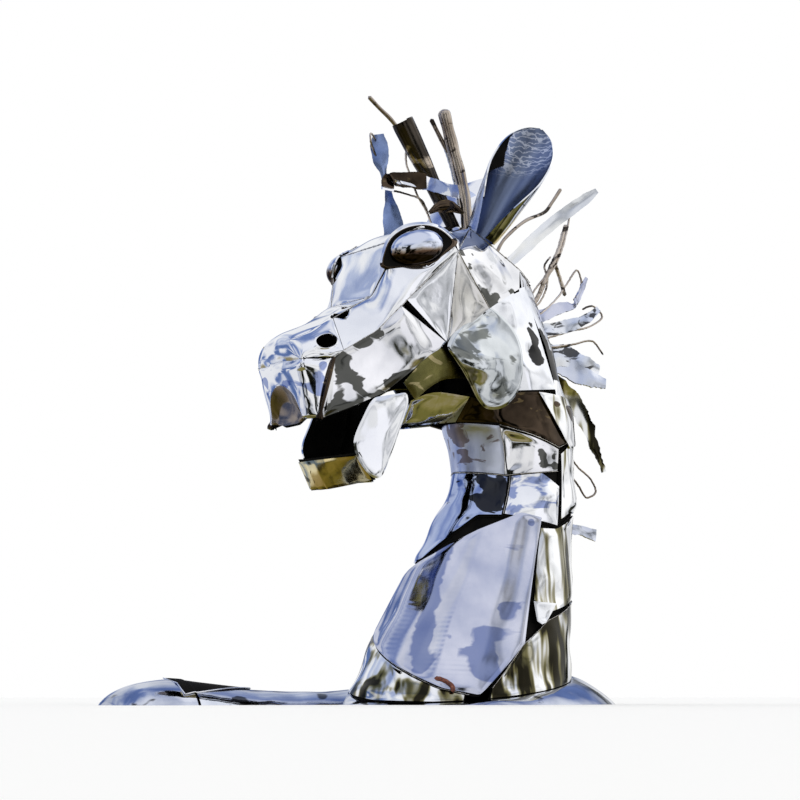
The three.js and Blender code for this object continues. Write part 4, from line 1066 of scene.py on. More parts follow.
def eye(side):
    """The eye: a dome in a hole with a turned-in lip painted dark brown below as shade, a round rim in the
    same painted shade and a black socket of painted shade.
    """
    word = SIDE_NAMES[side]
    tubes_piece(f"eye_dome_{word}", [eye_dome(side)], EYE_STEEL, "eye_dome", f"eye_{word}")
    outline = [(max(x, EYE_FRONT_END[side]), z - EYE_SINK[side] * max(z - EYE_SINK_FROM, 0))
               for x, z in EYE_HOLE]
    hole = loop(eye_plane(outline, side), EYE_POINTS)
    reach = np.clip((hole[:, 0] - EYE_FRONT_END[LEFT]) / 60, 0.15, 1)[:, None] * 0.2
    proud = np.interp(np.linspace(0, 1, EYE_RINGS), (0, 0.3, 1), (-1.0, -1.0, -6.0))
    points, faces, slots = sheet_faces(eye_ring(hole, side, reach, proud), wrap=True)
    centres = points[np.array(faces)].mean(1)
    # painted shade: the lower part of the surround takes the dark brown
    shaded = (slots == 0) & (centres[:, 2] < 799 + 0.42 * (centres[:, 0] + 253))
    surround = mesh_piece(f"eye_surround_{word}", points, faces, (POLISHED, SHADE_BLACK, SHADE_BROWN),
                          np.where(shaded, 2, slots))
    stands_for(surround, "polished_sheet")
    socket = eye_ring(hole, side, -0.45, np.linspace(-0.2, -3.0, EYE_RINGS))
    sheet_piece(f"painted_shade_eye_socket_{word}", socket, SHADE_BLACK, wrap=True)
    rim = tube_grid(np.concatenate((hole, hole[:2])), 1.2)
    tubes_piece(f"eye_rim_{word}", [rim], SHADE_BROWN, "polished_sheet")


# An ear along its length: half of the roll's angle in degrees, and its half-spread
EAR_ROLL = [(0, 160), (0.25, 138), (0.5, 106), (0.8, 58), (1, 42)]
EAR_SPREAD = [(0, 30), (0.25, 43), (0.6, 55), (0.84, 55), (1, 46)]
FLAP_EDGE, FLAP_TOP, STRIPE_EDGE, STRIPE_TOP = 0.45, 0.64, 0.72, 0.5
FLAP_LEFT, FLAP_RIGHT = 1, -1


def ear(node_name, foot, tip, facing, seed, flap_side):
    """An ear: a leaf of sheet rolled to a tube at its foot, the roll opening to a shallow scoop at its tip;
    outside, one flap of the roll is sanded and pale blue and the other is dull with a straw stripe; in the
    hollow beside each flap lies a pocket painted black as shade."""
    foot, tip = np.array(foot, float), np.array(tip, float)
    length = np.linalg.norm(tip - foot)
    axis = (tip - foot) / length
    face = np.array(facing, float)
    face = unit(face - axis * (face @ axis))
    over = np.cross(axis, face)
    t = np.linspace(0, 1, 76)
    j = np.linspace(-1, 1, 61)
    half = np.radians(smooth(EAR_ROLL, t))
    radius = smooth(EAR_SPREAD, t) / np.where(half > math.pi / 2, 1, np.sin(half))
    half = half * np.sqrt(np.clip(1 - t ** 7, 0.004, 1))
    turn = half[:, None] * j
    middle = foot + axis * (t * length)[:, None] + face * (radius * 0.6)[:, None]
    shape = (middle[:, None] - face * (radius[:, None] * np.cos(turn))[..., None]
             + over * (radius[:, None] * np.sin(turn))[..., None])
    turned = faced(shape, (foot + tip) / 2 + face * 400)
    up = t if np.array_equal(turned[0], shape[0]) else t[::-1]
    turned = hammered(turned, seed, dents=6, depth=0.9, radii=(24, 50), waves=0.4)
    points, faces, slots = sheet_faces(turned)
    high, aside = np.meshgrid((up[1:] + up[:-1]) / 2, flap_side * (j[1:] + j[:-1]) / 2, indexing="ij")
    finishes = (POLISHED, EAR_INSIDE, SANDED, DULLED, STRAW, SHADE_BLACK)
    polished, inside, pale, dull, straw, dark = range(len(finishes))
    outer, hollow = np.full(high.shape, polished), np.full(high.shape, inside)
    outer[(aside < -FLAP_EDGE) & (high < FLAP_TOP)] = pale
    outer[(aside > FLAP_EDGE) & (high < FLAP_TOP)] = dull
    outer[(aside > FLAP_EDGE) & (aside < STRIPE_EDGE) & (high < STRIPE_TOP)] = straw
    # painted shade: black pockets in the hollow beside each flap
    hollow[aside < -0.4 - 2.2 * np.abs(high - 0.6)] = dark
    hollow[aside > 0.72 + 1.6 * np.abs(high - 0.56)] = dark
    slots[:outer.size], slots[len(slots) - hollow.size:] = outer.reshape(-1), hollow.reshape(-1)
    piece = mesh_piece("rolled_" + node_name, points, faces, finishes, slots)
    return stands_for(piece, "polished_sheet", node_name)


for side in (LEFT, RIGHT):
    eye(side)
ear("ear_left", (4, -57, 884), (84, -146, 1102), (-0.62, -0.72, -0.1), 271, FLAP_LEFT)
ear("ear_right", (-4, 60, 884), (178, 104, 1046), (-0.3, 0.9, 0.1), 272, FLAP_RIGHT)


# Neck

def on_rim(*angles):
    """Points of the neck's leaning rim at the given angles."""
    return [(angle, float(rim_height(angle))) for angle in angles]


CREST_HEIGHTS = (72, 190, 320, 440, 540, 640, 740, 815)
CALM = dict(dents=8, depth=1.2, radii=(20, 44), waves=0.7)
SOFT = dict(dents=14, depth=2.0, radii=(18, 44), waves=1.2)
LIVELY = dict(dents=26, depth=2.4, radii=(14, 36), waves=1.4)
# Neck plates: name, lower rail and upper rail of (angle, height), lift, how they are beaten
NECK_PLATES = [
    ("throat_band_front", [(-60, 436), (-12, 440), (20, 436), (51, 430)],
     [(-60, 530), (-12, 530), (20, 528), (51, 522)], 0, CALM),
    ("throat_band_side", [(51, 430), (78, 436), (104, 444)], [(51, 518), (78, 505), (106, 486)], 0, CALM),
    ("nape_low_left", [(51, 525), (78, 510), (106, 491), (124, 506), (166, 510)],
     [(40, 572), (70, 588), (98, 594), (120, 586), (166, 586)], 0, SOFT),
    ("nape_rear_left", [(113, 588), (117, 640), (121, 690), (116, 735), (111, 785)],
     [(166, 590), (166, 645), (166, 700), (166, 750), (166, 800)], 0, SOFT),
    ("neck_upper_rear_left", [(112, 350), (128, 368), (166, 370)],
     [(109, 478), (126, 500), (166, 505)], 0, SOFT),
    ("collar_band_front", [(-60, 262), (-5, 270), (34, 352), (55, 352)],
     [(-60, 434), (-12, 438), (28, 432), (54, 427)], 0, LIVELY),
    ("collar_band_side", [(57, 354), (86, 344), (108, 337)], [(57, 428), (86, 437), (107, 414)], 0, SOFT),
    ("neck_low_front", on_rim(-76, -31, -28, 14, 47, 62),
     [(-76, 257), (-31, 254), (-28.5, 134), (14, 76), (47, 30), (62, 18)], 0, LIVELY),
    ("neck_low_rear_left", on_rim(75, 89, 106, 140, 166),
     [(75, 30), (89, 106), (106, 154), (140, 190), (166, 205)], 0, LIVELY),
    ("neck_rear_left", [(93, 192), (107, 170), (140, 196), (166, 211)],
     [(90, 330), (107, 331), (140, 364), (166, 366)], 0, LIVELY),
    ("crest_strip", [(169, z) for z in CREST_HEIGHTS], [(191, z) for z in CREST_HEIGHTS], CREST_LIFT, SOFT),
    ("neck_upper_right", [(-166, 436), (-130, 436), (-95, 436), (-62, 436)],
     [(-166, 580), (-130, 580), (-95, 570), (-62, 530)], 0, LIVELY),
    ("neck_middle_right", [(-166, 262), (-130, 262), (-95, 262), (-62, 262)],
     [(-166, 431), (-130, 431), (-95, 431), (-62, 431)], 0, LIVELY),
    ("neck_low_rear_right", on_rim(-166, -145, -122), [(-166, 257), (-145, 257), (-122, 257)], 0, LIVELY),
    ("neck_low_side_right", on_rim(-120, -98, -78), [(-120, 257), (-98, 257), (-78, 257)], 0, LIVELY),
]

NECK_FINISH = {
    "throat_band_front": GREYED, "throat_band_side": PATCHED, "collar_band_front": SCORCHED,
    # the low nape's dark brown is painted shade under the head
    "collar_band_side": BLUE_PATCHED, "nape_low_left": SHADE_BROWN, "nape_rear_left": BURNT,
    "neck_upper_rear_left": STREAKED, "neck_rear_left": WASHED, "neck_low_front": STREAKED,
    "neck_low_rear_left": SOILED, "neck_low_rear_right": SOILED, "neck_low_side_right": STREAKED,
}


def neck_middle(rail):
    """The middle of the neck at the mean height of a rail's points."""
    z = np.mean([p[1] for p in rail])
    return np.array((float(smooth(THROAT_LINE, z) + smooth(CREST_LINE, z)) / 2, 0.0, z))


for order, (plate_name, lower, upper, lift, beating) in enumerate(NECK_PLATES):
    middle = neck_middle(lower + upper)
    shape = faced(ruled(lower, upper, place=lambda p, up=lift: neck_surface(p, up)), middle)
    plate(plate_name, hammered(shape, 300 + order, **beating), middle, NECK_FINISH.get(plate_name, POLISHED))

BIG_PLATE_LOW = [(-26, 136), (14, 80), (50, 30), (69, 17), (89, 112)]
BIG_PLATE_TOP = [(-24, 240), (10, 277), (40, 323), (70, 358), (88, 350)]
RIPPLE_APART, RIPPLE_DEPTH, FLUTE_HOLD = 8.5, 0.08, 9


def big_plate():
    """The big neck plate: long upright hollows, and fine level ripples left by a planishing tool, strongest
    in upright bands."""
    middle = neck_middle(BIG_PLATE_LOW + BIG_PLATE_TOP)
    shape = ruled(BIG_PLATE_LOW, BIG_PLATE_TOP, place=lambda p: neck_surface(p, BIG_PLATE_LIFT), cell=3.2,
                  cell_across=1.5)
    shape = hammered(faced(shape, middle), 351, dents=14, depth=1.8, radii=(22, 48), waves=0.6)
    far, normals = edge_distance(shape), grid_normals(shape)
    x, y, z = shape[..., 0], shape[..., 1], shape[..., 2]
    centre = (smooth(THROAT_LINE, z) + smooth(CREST_LINE, z)) / 2
    turn = np.degrees(np.arctan2(-y / NECK_WIDTH_SHARE, centre - x))
    flutes = (2.0 * np.sin(np.radians(turn * 8 + 34 * np.sin(z / 80)))
              + 0.9 * np.sin(np.radians(turn * 17 + 40 + 30 * np.sin(z / 50))))
    band = np.exp(-((turn - 50) / 9) ** 2) + 0.7 * np.exp(-((turn - 8) / 9) ** 2) * (z < 190)
    ripple = RIPPLE_DEPTH * band * np.sin(FULL_TURN * (z + 0.12 * turn) / RIPPLE_APART)
    push = (flutes + ripple) * (1 - np.exp(-(far / FLUTE_HOLD) ** 2))
    return plate("neck_big_plate", shape + normals * push[..., None], middle, SATIN)


big_plate()


def nape_plate(node_name, lower, upper, seed, finish):
    """An upper nape plate: ruled from the neck's side up to the poll plate's lower edge."""
    middle = np.array((80.0, 0.0, 690.0))
    shape = faced(ruled(neck_surface(np.array(lower, float), 6.0), upper), middle)
    return plate(node_name, hammered(shape, seed, **LIVELY), middle, finish)


def extra_sheet(name, rail_a, rail_b, inside, seed, finish, crown=0.0, lined=True, place=None, **beating):
    """A small sheet that closes or covers a gap between plates, ruled between two rails."""
    shape = hammered(crowned(faced(ruled(rail_a, rail_b, place=place), inside), crown), seed, **beating)
    if lined:
        line_behind(shape)
    return sheet_piece(name, shape, finish, SHADE_BLACK)


nape_plate("nape_high_left", [(56, 586), (82, 592), (111, 601)],
           [(-8, -101, 747), (50, -86, 783), (112, -60, 806)],
           361, BURNT)
nape_plate("nape_right", [(-166, 585), (-125, 585), (-95, 575), (-58, 545)],
           [(158, 24, 806), (116, 64, 794), (62, 90, 774), (-8, 101, 742)], 315, POLISHED)
NAPE_TOP = [(98, -62, 833), (122, -49, 827), (146, -35, 820), (146, 35, 820), (122, 49, 827), (98, 62, 833)]
NAPE_RING_HEIGHT = 772
nape_ring = [(angle, NAPE_RING_HEIGHT) for angle in (104, 124, 152, 208, 236, 256)]
nape_ring = neck_surface(np.array(nape_ring, float), -3.0)
extra_sheet("nape_gusset", NAPE_TOP, nape_ring, np.array((60.0, 0.0, 790.0)), 371, BURNT, crown=3.0, **SOFT)
extra_sheet("nape_tongue", [(90, 592), (97, 562), (104, 534), (113, 508), (123, 490)],
            [(164, 592), (164, 572), (164, 550), (164, 530), (164, 514)], np.array((130.0, 0.0, 550.0)),
            383, WASHED,
            lined=False, place=lambda p: neck_surface(p, 3.5), **CALM)
for side in (LEFT, RIGHT):
    word = SIDE_NAMES[side]
    rails = [[corner("muzzleCorner", side) * 0.6 + corner("muzzleRearTop", side) * 0.4,
              corner("seamFront", side)],
             [corner("muzzleRearTop", side), corner("seamFront", side) - (2, 0, 2)]]
    extra_sheet(f"nostril_gusset_{word}", *rails, HEAD_MIDDLE, 376 + side, POLISHED, dents=0)
    # the throat gusset's dark brown is painted shade in the gap under the jowl
    rails = mirrored([(-46, 82, 570), (24, 86, 563)], side), mirrored([(-46, 40, 526), (26, 80, 527)], side)
    extra_sheet(f"throat_shade_gusset_{word}", *rails, np.array((-20.0, 0.0, 600.0)), 379 + side, SHADE_BROWN, crown=2.0,
                dents=6, depth=1.2, radii=(12, 30), waves=0.6)
    rails = [[corner("eyeBackTop", side), corner("pollFront", side)],
             [corner("templeTop", side), corner("pollFront", side) - (3, 0, 3)]]
    extra_sheet(f"brow_gusset_{word}", *rails, HEAD_MIDDLE, 372 + side, POLISHED, crown=2.0,
                dents=4, depth=1.0, radii=(14, 30), waves=0.6)


# Painted shade inside, and seams

# The dark core of the head: x, height of its middle, half-width, half-height
CORE_STATIONS = [(-395, 560, 40, 45), (-340, 590, 55, 58), (-280, 640, 70, 65), (-230, 700, 78, 75),
                 (-170, 720, 85, 92), (-100, 740, 86, 112), (-30, 745, 84, 116), (40, 730, 76, 92),
                 (90, 720, 58, 66)]
NECK_CORE_DEPTH = 9.0


def dark_inside():
    """Painted shade for the unlit inside of head and neck: black sheets as an oval carried through the head,
    a tube that follows the neck below its plates, and the coarse lining sheets."""
    table = np.array(CORE_STATIONS, float)
    x = np.linspace(table[0, 0], table[-1, 0], 40)
    middle, wide, tall = [smooth(table[:, (0, k)], x)[:, None] for k in (1, 2, 3)]
    turn = np.linspace(0, FULL_TURN, 36, endpoint=False)
    head = np.stack((np.broadcast_to(x[:, None], (len(x), len(turn))), wide * np.cos(turn),
                     middle + tall * np.sin(turn)), -1)
    angle, z = np.meshgrid(np.linspace(0, 360, 72, endpoint=False), np.linspace(30, 780, 60))
    neck = neck_surface(np.stack((angle, z), -1), -NECK_CORE_DEPTH)
    tubes_piece("painted_shade_core_of_head", [head], SHADE_BLACK, "polished_sheet")
    tubes_piece("painted_shade_core_of_neck", [neck], SHADE_BLACK, "polished_sheet")
    points, faces, start = [], [], 0
    for grid in LINING:
        more, sides, _ = sheet_faces(grid, 1.0)
        points.append(more)
        faces += [[k + start for k in face] for face in sides]
        start += len(more)
    stands_for(mesh_piece("painted_shade_lining_behind_seams", np.concatenate(points), faces, (SHADE_BLACK,)),
               "polished_sheet")


dark_inside()


def bead(points, seed, radius=0.65, place=lambda p: p):
    """A weld bead along a seam: a round section whose radius and course wander from blob to blob."""
    points = np.asarray(points, float)
    run = run_along(place(points))
    count = max(6, int(run[-1] / 2.2))
    path = place(along(points, np.interp(np.linspace(0, run[-1], count + 1), run, np.arange(len(run)))))
    rng = np.random.default_rng(seed)
    rough = rng.normal(0, 1, (count + 1, 4))
    rough = (rough + np.roll(rough, 1, 0) + np.roll(rough, 2, 0)) / 1.73
    blobs = np.clip(radius * (1 + 0.2 * rough[:, 0]) + 0.7 * np.clip(rough[:, 0] - 1.1, 0, 1.5), 0.4, 2.5)
    return tube_grid(path + 0.15 * rough[:, 1:], blobs, 9)


# Weld seams: corners along each seam of a head side, corners joined across the head, and angle and height
# on the neck
HEAD_SEAMS = ["muzzleRearTop muzzleRearLow", "muzzleRearTop seamFront seamMiddle cheekFront",
              "noseRidge browFront browMiddle", "cheekFront cheekBrow templeTop", "templeTop slitLow",
              "templeTop templeMiddle cheekTop", "templeTop pollFront", "pollFront pollRear pollEnd",
              "browTop eyeTop"]
CROSS_SEAMS = ["browFront", "browTop"]
NECK_SEAMS = [[(-60, 435), (-12, 439), (20, 434), (52, 428.5), (80, 436.5), (104, 443)],
              [(51, 523), (78, 508), (106, 489), (124, 505)],
              [(51, 432), (51, 519)], [(56, 354), (56, 427)],
              [(-28, 250), (-27, 136), (14, 78), (48, 30), (64, 18)],
              [(75, 30), (89, 108), (106, 155), (140, 191), (166, 206)],
              [(168, 80), (168, 320), (168, 560), (168, 790)],
              [(-60, 434), (-95, 434), (-130, 434), (-166, 434)],
              [(-66, 260), (-95, 260), (-130, 260), (-166, 260)]]

head_beads = [bead(side_rail(words, side), 600 + 2 * order + side)
              for order, words in enumerate(HEAD_SEAMS) for side in (LEFT, RIGHT)]
head_beads += [bead([corner(name, LEFT), corner(name, RIGHT)], 640 + order)
               for order, name in enumerate(CROSS_SEAMS)]
neck_beads = [bead(rail, 660 + order, place=neck_surface) for order, rail in enumerate(NECK_SEAMS)]
tubes_piece("weld_beads_of_head", head_beads, WELD_STEEL, "polished_sheet")
tubes_piece("weld_beads_of_neck", neck_beads, WELD_STEEL, "polished_sheet")


def muzzle_rolls():
    """The rolled seam down each side behind the muzzle: a round section that ends in a knob at the lip."""
    grids = []
    for side in (LEFT, RIGHT):
        top, low = corner("muzzleRearTop", side), corner("muzzleRearLow", side)
        path = curve([top, top * 0.5 + low * 0.5, low], 2.5)
        t = np.linspace(0, 1, len(path))
        grids.append(tube_grid(path, 3.4 + 0.8 * np.sin(5 * t) + 4.5 * np.exp(-((t - 0.97) / 0.07) ** 2), 18))
    return tubes_piece("rolled_seams_of_muzzle", grids, SHADE_BROWN, "polished_sheet")


muzzle_rolls()


# Mane

def rod(points, radius, sides=12, step=3.0, seed=0, wander=0.0):
    """A round rod along a curve, blunt at both ends, its surface a little uneven."""
    path = curve(points, step)
    rng = np.random.default_rng(seed)
    path = path + rng.normal(0, wander, path.shape)
    uneven = 1 + 0.05 * np.sin(np.arange(len(path)) * 0.35 + seed)
    return tube_grid(path, blunt(path, radius) * uneven, sides)


SLIT_HALF = math.radians(35)


def slit_pipe(foot, head, radii, slit, seed):
    """Sheet rolled round a straight line, wider at its head, its slit turned to the rear."""
    foot, head = np.array(foot, float), np.array(head, float)
    axis = unit(head - foot)
    slit = np.array(slit, float)
    slit = unit(slit - axis * (slit @ axis))
    other = np.cross(axis, slit)
    turn = np.linspace(SLIT_HALF, FULL_TURN - SLIT_HALF, 41)[:, None]
    t = np.linspace(0, 1, 50)[None, :]
    radius = radii[0] + (radii[1] - radii[0]) * t
    out = np.cos(turn)[..., None] * slit + np.sin(turn)[..., None] * other
    grid = foot + (head - foot) * t[..., None] + out * radius[..., None]
    grid = faced(grid, (foot + head) / 2)
    return hammered(grid, seed, dents=10, depth=1.0, radii=(10, 26), waves=0.3)


pipe = slit_pipe((-8, 6, 910), (-135, 10, 1111), (12, 22), (0.5, 0.8, 0.3), 401)
sheet_piece("torn_forelock_pipe", pipe, SOOTED, slot="mane_bar", nodes=("forelock_pipe",))
tubes_piece("forelock_spike", [
    rod([(-126, 10, 1076), (-158, 14, 1110), (-184, 18, 1130), (-207, 22, 1150)], 4, seed=2)], BAR_STEEL,
            "mane_bar")
tubes_piece("torn_forelock_rod", [
    rod([(10, -16, 884), (-3, -12, 991), (-27, -8, 1079), (-46, -5, 1148)], 12, sides=20, seed=3),
    rod([(-20, 4, 1058), (-40, 12, 1096), (-57, 20, 1133)], 4.5, seed=4)], BAR_STEEL, "mane_bar",
            "forelock_rod")
tubes_piece("forelock_thin_rod", [
    rod([(-2, -1, 952), (-12, 2, 1010), (-26, 8, 1066), (-44, 14, 1106)], 4.0, seed=8, wander=0.3)],
    STRIP_STEEL, "mane_bar")
tubes_piece("torn_mane_wire", [
    rod([(66, -24, 852), (74, -25, 880), (94, -26, 908), (140, -30, 947), (193, -30, 974), (212, -30, 996),
         (237, -30, 1029)], 3.5, seed=5)], BAR_STEEL, "mane_bar", "mane_wire")
tubes_piece("torn_mane_twist", [
    rod([(164, -6, 776), (186, -8, 796), (206, -15, 842), (240, -15, 901), (263, -15, 961)], 5, seed=6,
        wander=0.4),
    rod([(226, -15, 884), (246, -12, 852), (262, -10, 814)], 4, seed=7, wander=0.4)],
    BAR_STEEL, "mane_bar", "mane_twist")

UPRIGHT, FACING, FLAT, STANDING = (0.8, -0.6, 0.1), (0.2, 0.12, 1), (1, 0, 0.1), (0, 0, 1)
bar("forelock_bar", ribbon(
    [(-100, 74, 868), (-117, 74, 970), (-135, 76, 1038), (-143, 78, 1100)],
    [(0, 46), (0.3, 36), (0.48, 14), (0.66, 12), (0.78, 30), (0.92, 34), (1, 20)], UPRIGHT, seed=11), BLUED)
bar("forelock_band", ribbon(
    [(-174, 6, 966), (-172, 2, 986), (-104, -14, 990), (-34, -11, 986), (-8, -14, 984)],
    [(0, 27), (1, 25)], FLAT, STANDING, seed=12), POLISHED)
strip("forelock_band_sleeve", ribbon(
    [(-178, 1, 970), (-176, -2, 986), (-140, -9, 990), (-98, -19, 991)],
    [(0, 30), (1, 31)], FLAT, STANDING, seed=22), SHADE_BROWN)
bar("mane_blade", ribbon(
    [(92, -14, 840), (118, -19, 868), (200, -32, 944), (322, -45, 1036)],
    [(0, 14), (0.35, 24), (0.85, 22), (1, 12)], (0.6, -0.2, -0.8), seed=13, ragged=0.4), STRIP_STEEL)
bar("mane_strip_upper", ribbon(
    [(174, -3, 756), (205, -5, 768), (243, -10, 786), (282, -15, 802), (311, -20, 856)],
    [(0, 26), (0.6, 20), (1, 6)], FACING, (1, 0, 0.3), seed=14), SATIN)
bar("mane_strip_middle", ribbon(
    [(184, -3, 732), (214, -5, 741), (256, -15, 750), (307, -20, 770), (341, -25, 795)],
    [(0, 22), (0.5, 26), (1, 10)], FACING, seed=15), SPOTTED)
bar("mane_strip_low", ribbon(
    [(226, 0, 646), (256, 0, 630), (296, -6, 590), (330, -14, 520), (352, -20, 462)],
    [(0, 26), (0.4, 30), (1, 8)], (0.7, -0.5, 0.4), seed=16, ragged=1.4), STREAKED)
bar("mane_strip_tail", ribbon(
    [(250, -2, 345), (300, -6, 342), (337, -10, 334)], [(0, 20), (0.5, 20), (1, 26)], FACING, seed=17),
    DULLED)
bar("mane_bundle", ribbon(
    [(204, 0, 690), (230, -2, 690), (270, -12, 690), (340, -24, 668)],
    [(0, 46), (0.5, 42), (1, 24)], (0, 0.1, 1), seed=18, ragged=1.6), SPOTTED)
strip("mane_bundle_lower_strip", ribbon(
    [(206, 2, 682), (232, 1, 682), (280, -20, 658), (352, -30, 640)],
    [(0, 40), (0.5, 44), (1, 22)], (0.1, 0.2, 1), seed=19, ragged=1.6), DULLED)

MANE_WIRES = [
    [(-112, 26, 1075), (-112, 28, 1038), (-100, 26, 1004)],
    [(-100, 26, 1004), (-88, 22, 972), (-70, 18, 944), (-52, 10, 892)],
    [(-142, 34, 978), (-112, 28, 974), (-80, 22, 966), (-66, 17, 940)],
    [(-146, 80, 1086), (-166, 70, 1096), (-168, 68, 1080), (-144, 82, 1056)],
    [(158, -8, 786), (196, -14, 836), (226, -18, 866), (252, -20, 920), (270, -20, 985)],
    [(176, -6, 752), (232, -12, 800), (262, -14, 836), (290, -16, 870), (300, -18, 842), (280, -16, 806)],
    [(250, -6, 520), (286, -12, 470), (318, -16, 446), (330, -18, 420), (306, -16, 408), (290, -12, 430),
     (262, -6, 462)],
    [(200, -3, 702), (240, -8, 708), (278, -16, 716), (322, -24, 726), (348, -28, 700)],
    [(170, -6, 770), (200, -10, 800), (214, -12, 840), (206, -12, 868), (222, -14, 890)],
    [(196, -4, 716), (236, -10, 730), (276, -14, 744), (318, -18, 756), (352, -22, 780), (330, -20, 800),
     (300, -18, 790)],
]
tubes_piece("mane_wires", [
    rod(points, 2.0, sides=8, seed=30 + order, wander=0.25) for order, points in enumerate(MANE_WIRES)],
    BAR_STEEL, "mane_bar")
strip("forelock_leaf", ribbon(
    [(-76, 2, 936), (-60, -6, 948), (-34, -14, 952), (-4, -16, 943)],
    [(0, 6), (0.45, 24), (1, 8)], (0.1, -0.2, 1), seed=21, cup=4.0), SHADE_BROWN)

# The hook on the big plate: angle and height, and lift from the neck
HOOK = [((45, 47), 7.0), ((48, 46), 9.0), ((52, 40), 9.0), ((55, 32), 8.0), ((56, 22), 5.0)]
hook_path = np.stack([neck_surface(np.array(pair, float), lift) for pair, lift in HOOK])
tubes_piece("rusty_hook", [rod(hook_path, 4.0, sides=12, seed=41, wander=0.3)], RUST, "mane_bar")
PATCH_RAILS = [[(91.5, 190), (99, 189), (112, 188)], [(96, 152), (100, 146), (103, 150)]]
patch = faced(ruled(*PATCH_RAILS, place=lambda p: neck_surface(p, 4.0)), np.array((20.0, 0.0, 170.0)))
patch = hammered(patch, 362, dents=5, depth=1.2, radii=(10, 20), waves=0.5)
sheet_piece("small_neck_patch", patch, POLISHED, SHADE_BLACK, thickness=2.0)


# Base

def dented(grid, rng, dents, radii, spread):
    """Heights of random round dents over a grid: bell curves about points of the grid itself."""
    flat = grid.reshape(-1, 3)
    middles = flat[rng.integers(0, len(flat), dents)]
    return bells(grid, middles, rng.uniform(*radii, dents), rng.normal(0, spread, dents))


def shoulder():
    """The shoulders: rings from the oval cut up over a bulge to the neck's leaning rim, closed flat below."""
    turn = np.linspace(0, 360, 181)[:-1]
    c, s = np.cos(np.radians(turn)), np.sin(np.radians(turn))
    level = np.zeros(len(turn))
    cut = np.stack((SHOULDER_CENTRE - SHOULDER_HALF_LENGTH * c, -SHOULDER_HALF_WIDTH * s, level), -1)
    foot = neck_surface(np.stack((turn, np.full_like(turn, RIM_HEIGHT)), -1), 3.0)
    foot[:, 2] = np.maximum(1.2, rim_height(turn) - 1)
    bulge = (cut + foot) / 2
    bulge[:, 2] = foot[:, 2] * 0.68
    t = np.linspace(0, 1, 40)[None, :, None]
    grid = (cut[:, None] * (1 - t) ** 2 + (4 * bulge - cut - foot)[:, None] / 2 * 2 * t * (1 - t)
            + foot[:, None] * t ** 2)
    rng = np.random.default_rng(501)
    normals = grid_normals(grid, wrap=True)
    if normals[..., 2].sum() < 0:
        normals = -normals
    push = dented(grid, rng, 40, (14, 44), 1.5)
    push *= (4 * t * (1 - t))[..., 0]
    grid = grid + normals * push[..., None]
    grid[..., 2] = np.maximum(grid[..., 2], 0)
    grid = np.swapaxes(grid, 0, 1)
    return tubes_piece("hammered_shoulder", [grid], DULLED, "base_sheet", "shoulder_section")


LEG_SPOKES = 49


def leg(stations, seed, count):
    """A stretch of the foreleg above the cut: at each station the top of a round section, shut flat below."""
    x = np.linspace(stations[0][0], stations[-1][0], count)
    height = np.maximum(smooth(sorted(stations), x), 1.0)
    reach = np.arccos(np.clip(1 - height / LEG_RADIUS, -1, 1))
    across = np.linspace(-1, 1, LEG_SPOKES)
    turn = reach[:, None] * across
    rng = np.random.default_rng(seed)
    grid = np.stack((np.broadcast_to(x[:, None], turn.shape), LEG_OFFSET + LEG_RADIUS * np.sin(turn),
                     height[:, None] - LEG_RADIUS * (1 - np.cos(turn))), -1)
    push = dented(grid, rng, 16, (14, 40), 1.2)
    push *= 1 - across[None, :] ** 2
    grid[..., 2] = np.maximum(grid[..., 2] + push, 0.0)
    return grid[:, ::-1]


# The gap of the knee: its two ends along x, its upper edge and its greatest opening as angles, its lift
GAP_FRONT, GAP_LENGTH, GAP_EDGE, GAP_OPENING, GAP_LIFT = -589, 179, 0.06, 0.95, 1.6


def knee_gap(stations):
    """A black sheet painted as the shade in the gap where the knee's top sheet stands open: on the leg's near
    upper side, tall at its front end and run out to a point behind, with a bright lip below it."""
    s = np.linspace(0, 1, 60)
    x = GAP_FRONT + GAP_LENGTH * s
    height = smooth(sorted(stations), x)
    low = GAP_EDGE - GAP_OPENING * (1 - s) ** 0.75 * np.clip(s / 0.03, 0, 1)
    turn = GAP_EDGE + (low - GAP_EDGE)[:, None] * np.linspace(0, 1, 14)
    radius = LEG_RADIUS + GAP_LIFT
    grid = np.stack((np.broadcast_to(x[:, None], turn.shape), LEG_OFFSET + radius * np.sin(turn),
                     height[:, None] - LEG_RADIUS + radius * np.cos(turn)), -1)
    grid = faced(grid, np.array((-540.0, LEG_OFFSET, -40.0)))
    sheet_piece("painted_shade_gap_of_knee", grid, SHADE_BLACK, slot="base_sheet", thickness=2.5)
    lip = np.stack((x, LEG_OFFSET + radius * np.sin(low), height - LEG_RADIUS + radius * np.cos(low)), -1)
    tubes_piece("bright_lip_of_knee", [tube_grid(lip, 1.1, 10)], POLISHED, "base_sheet")


shoulder()
# Tops of the leg's sections: x and height
KNEE = [(-562, 44), (-600, 45), (-640, 41), (-670, 31), (-692, 16), (-700, 3)]
FOREARM = [(-196, 27), (-226, 25), (-300, 22), (-400, 27), (-500, 36), (-556, 42)]
tubes_piece("hammered_knee_cap", [leg(KNEE, 512, 60)], DULLED, "base_sheet", "knee_cap")
tubes_piece("hammered_forearm", [leg(FOREARM, 511, 90)], DULLED, "base_sheet", "forearm")
knee_gap(KNEE + FOREARM)


# Camera, floor and light

# The photo's camera: focal length, picture width and rise of its middle over the horizon in pixels; then its
# heading and its place in millimetres
FOCAL_PX, PICTURE_PX, HORIZON_PX = 1895.0, 800, 297
CAMERA_YAW, CAMERA_AWAY, CAMERA_HEIGHT, CAMERA_SIDEWAYS = math.radians(-37.0), 3600.0, 14.0, -118.0
SENSOR_MM = 36.0
FLOOR_REACH = 30


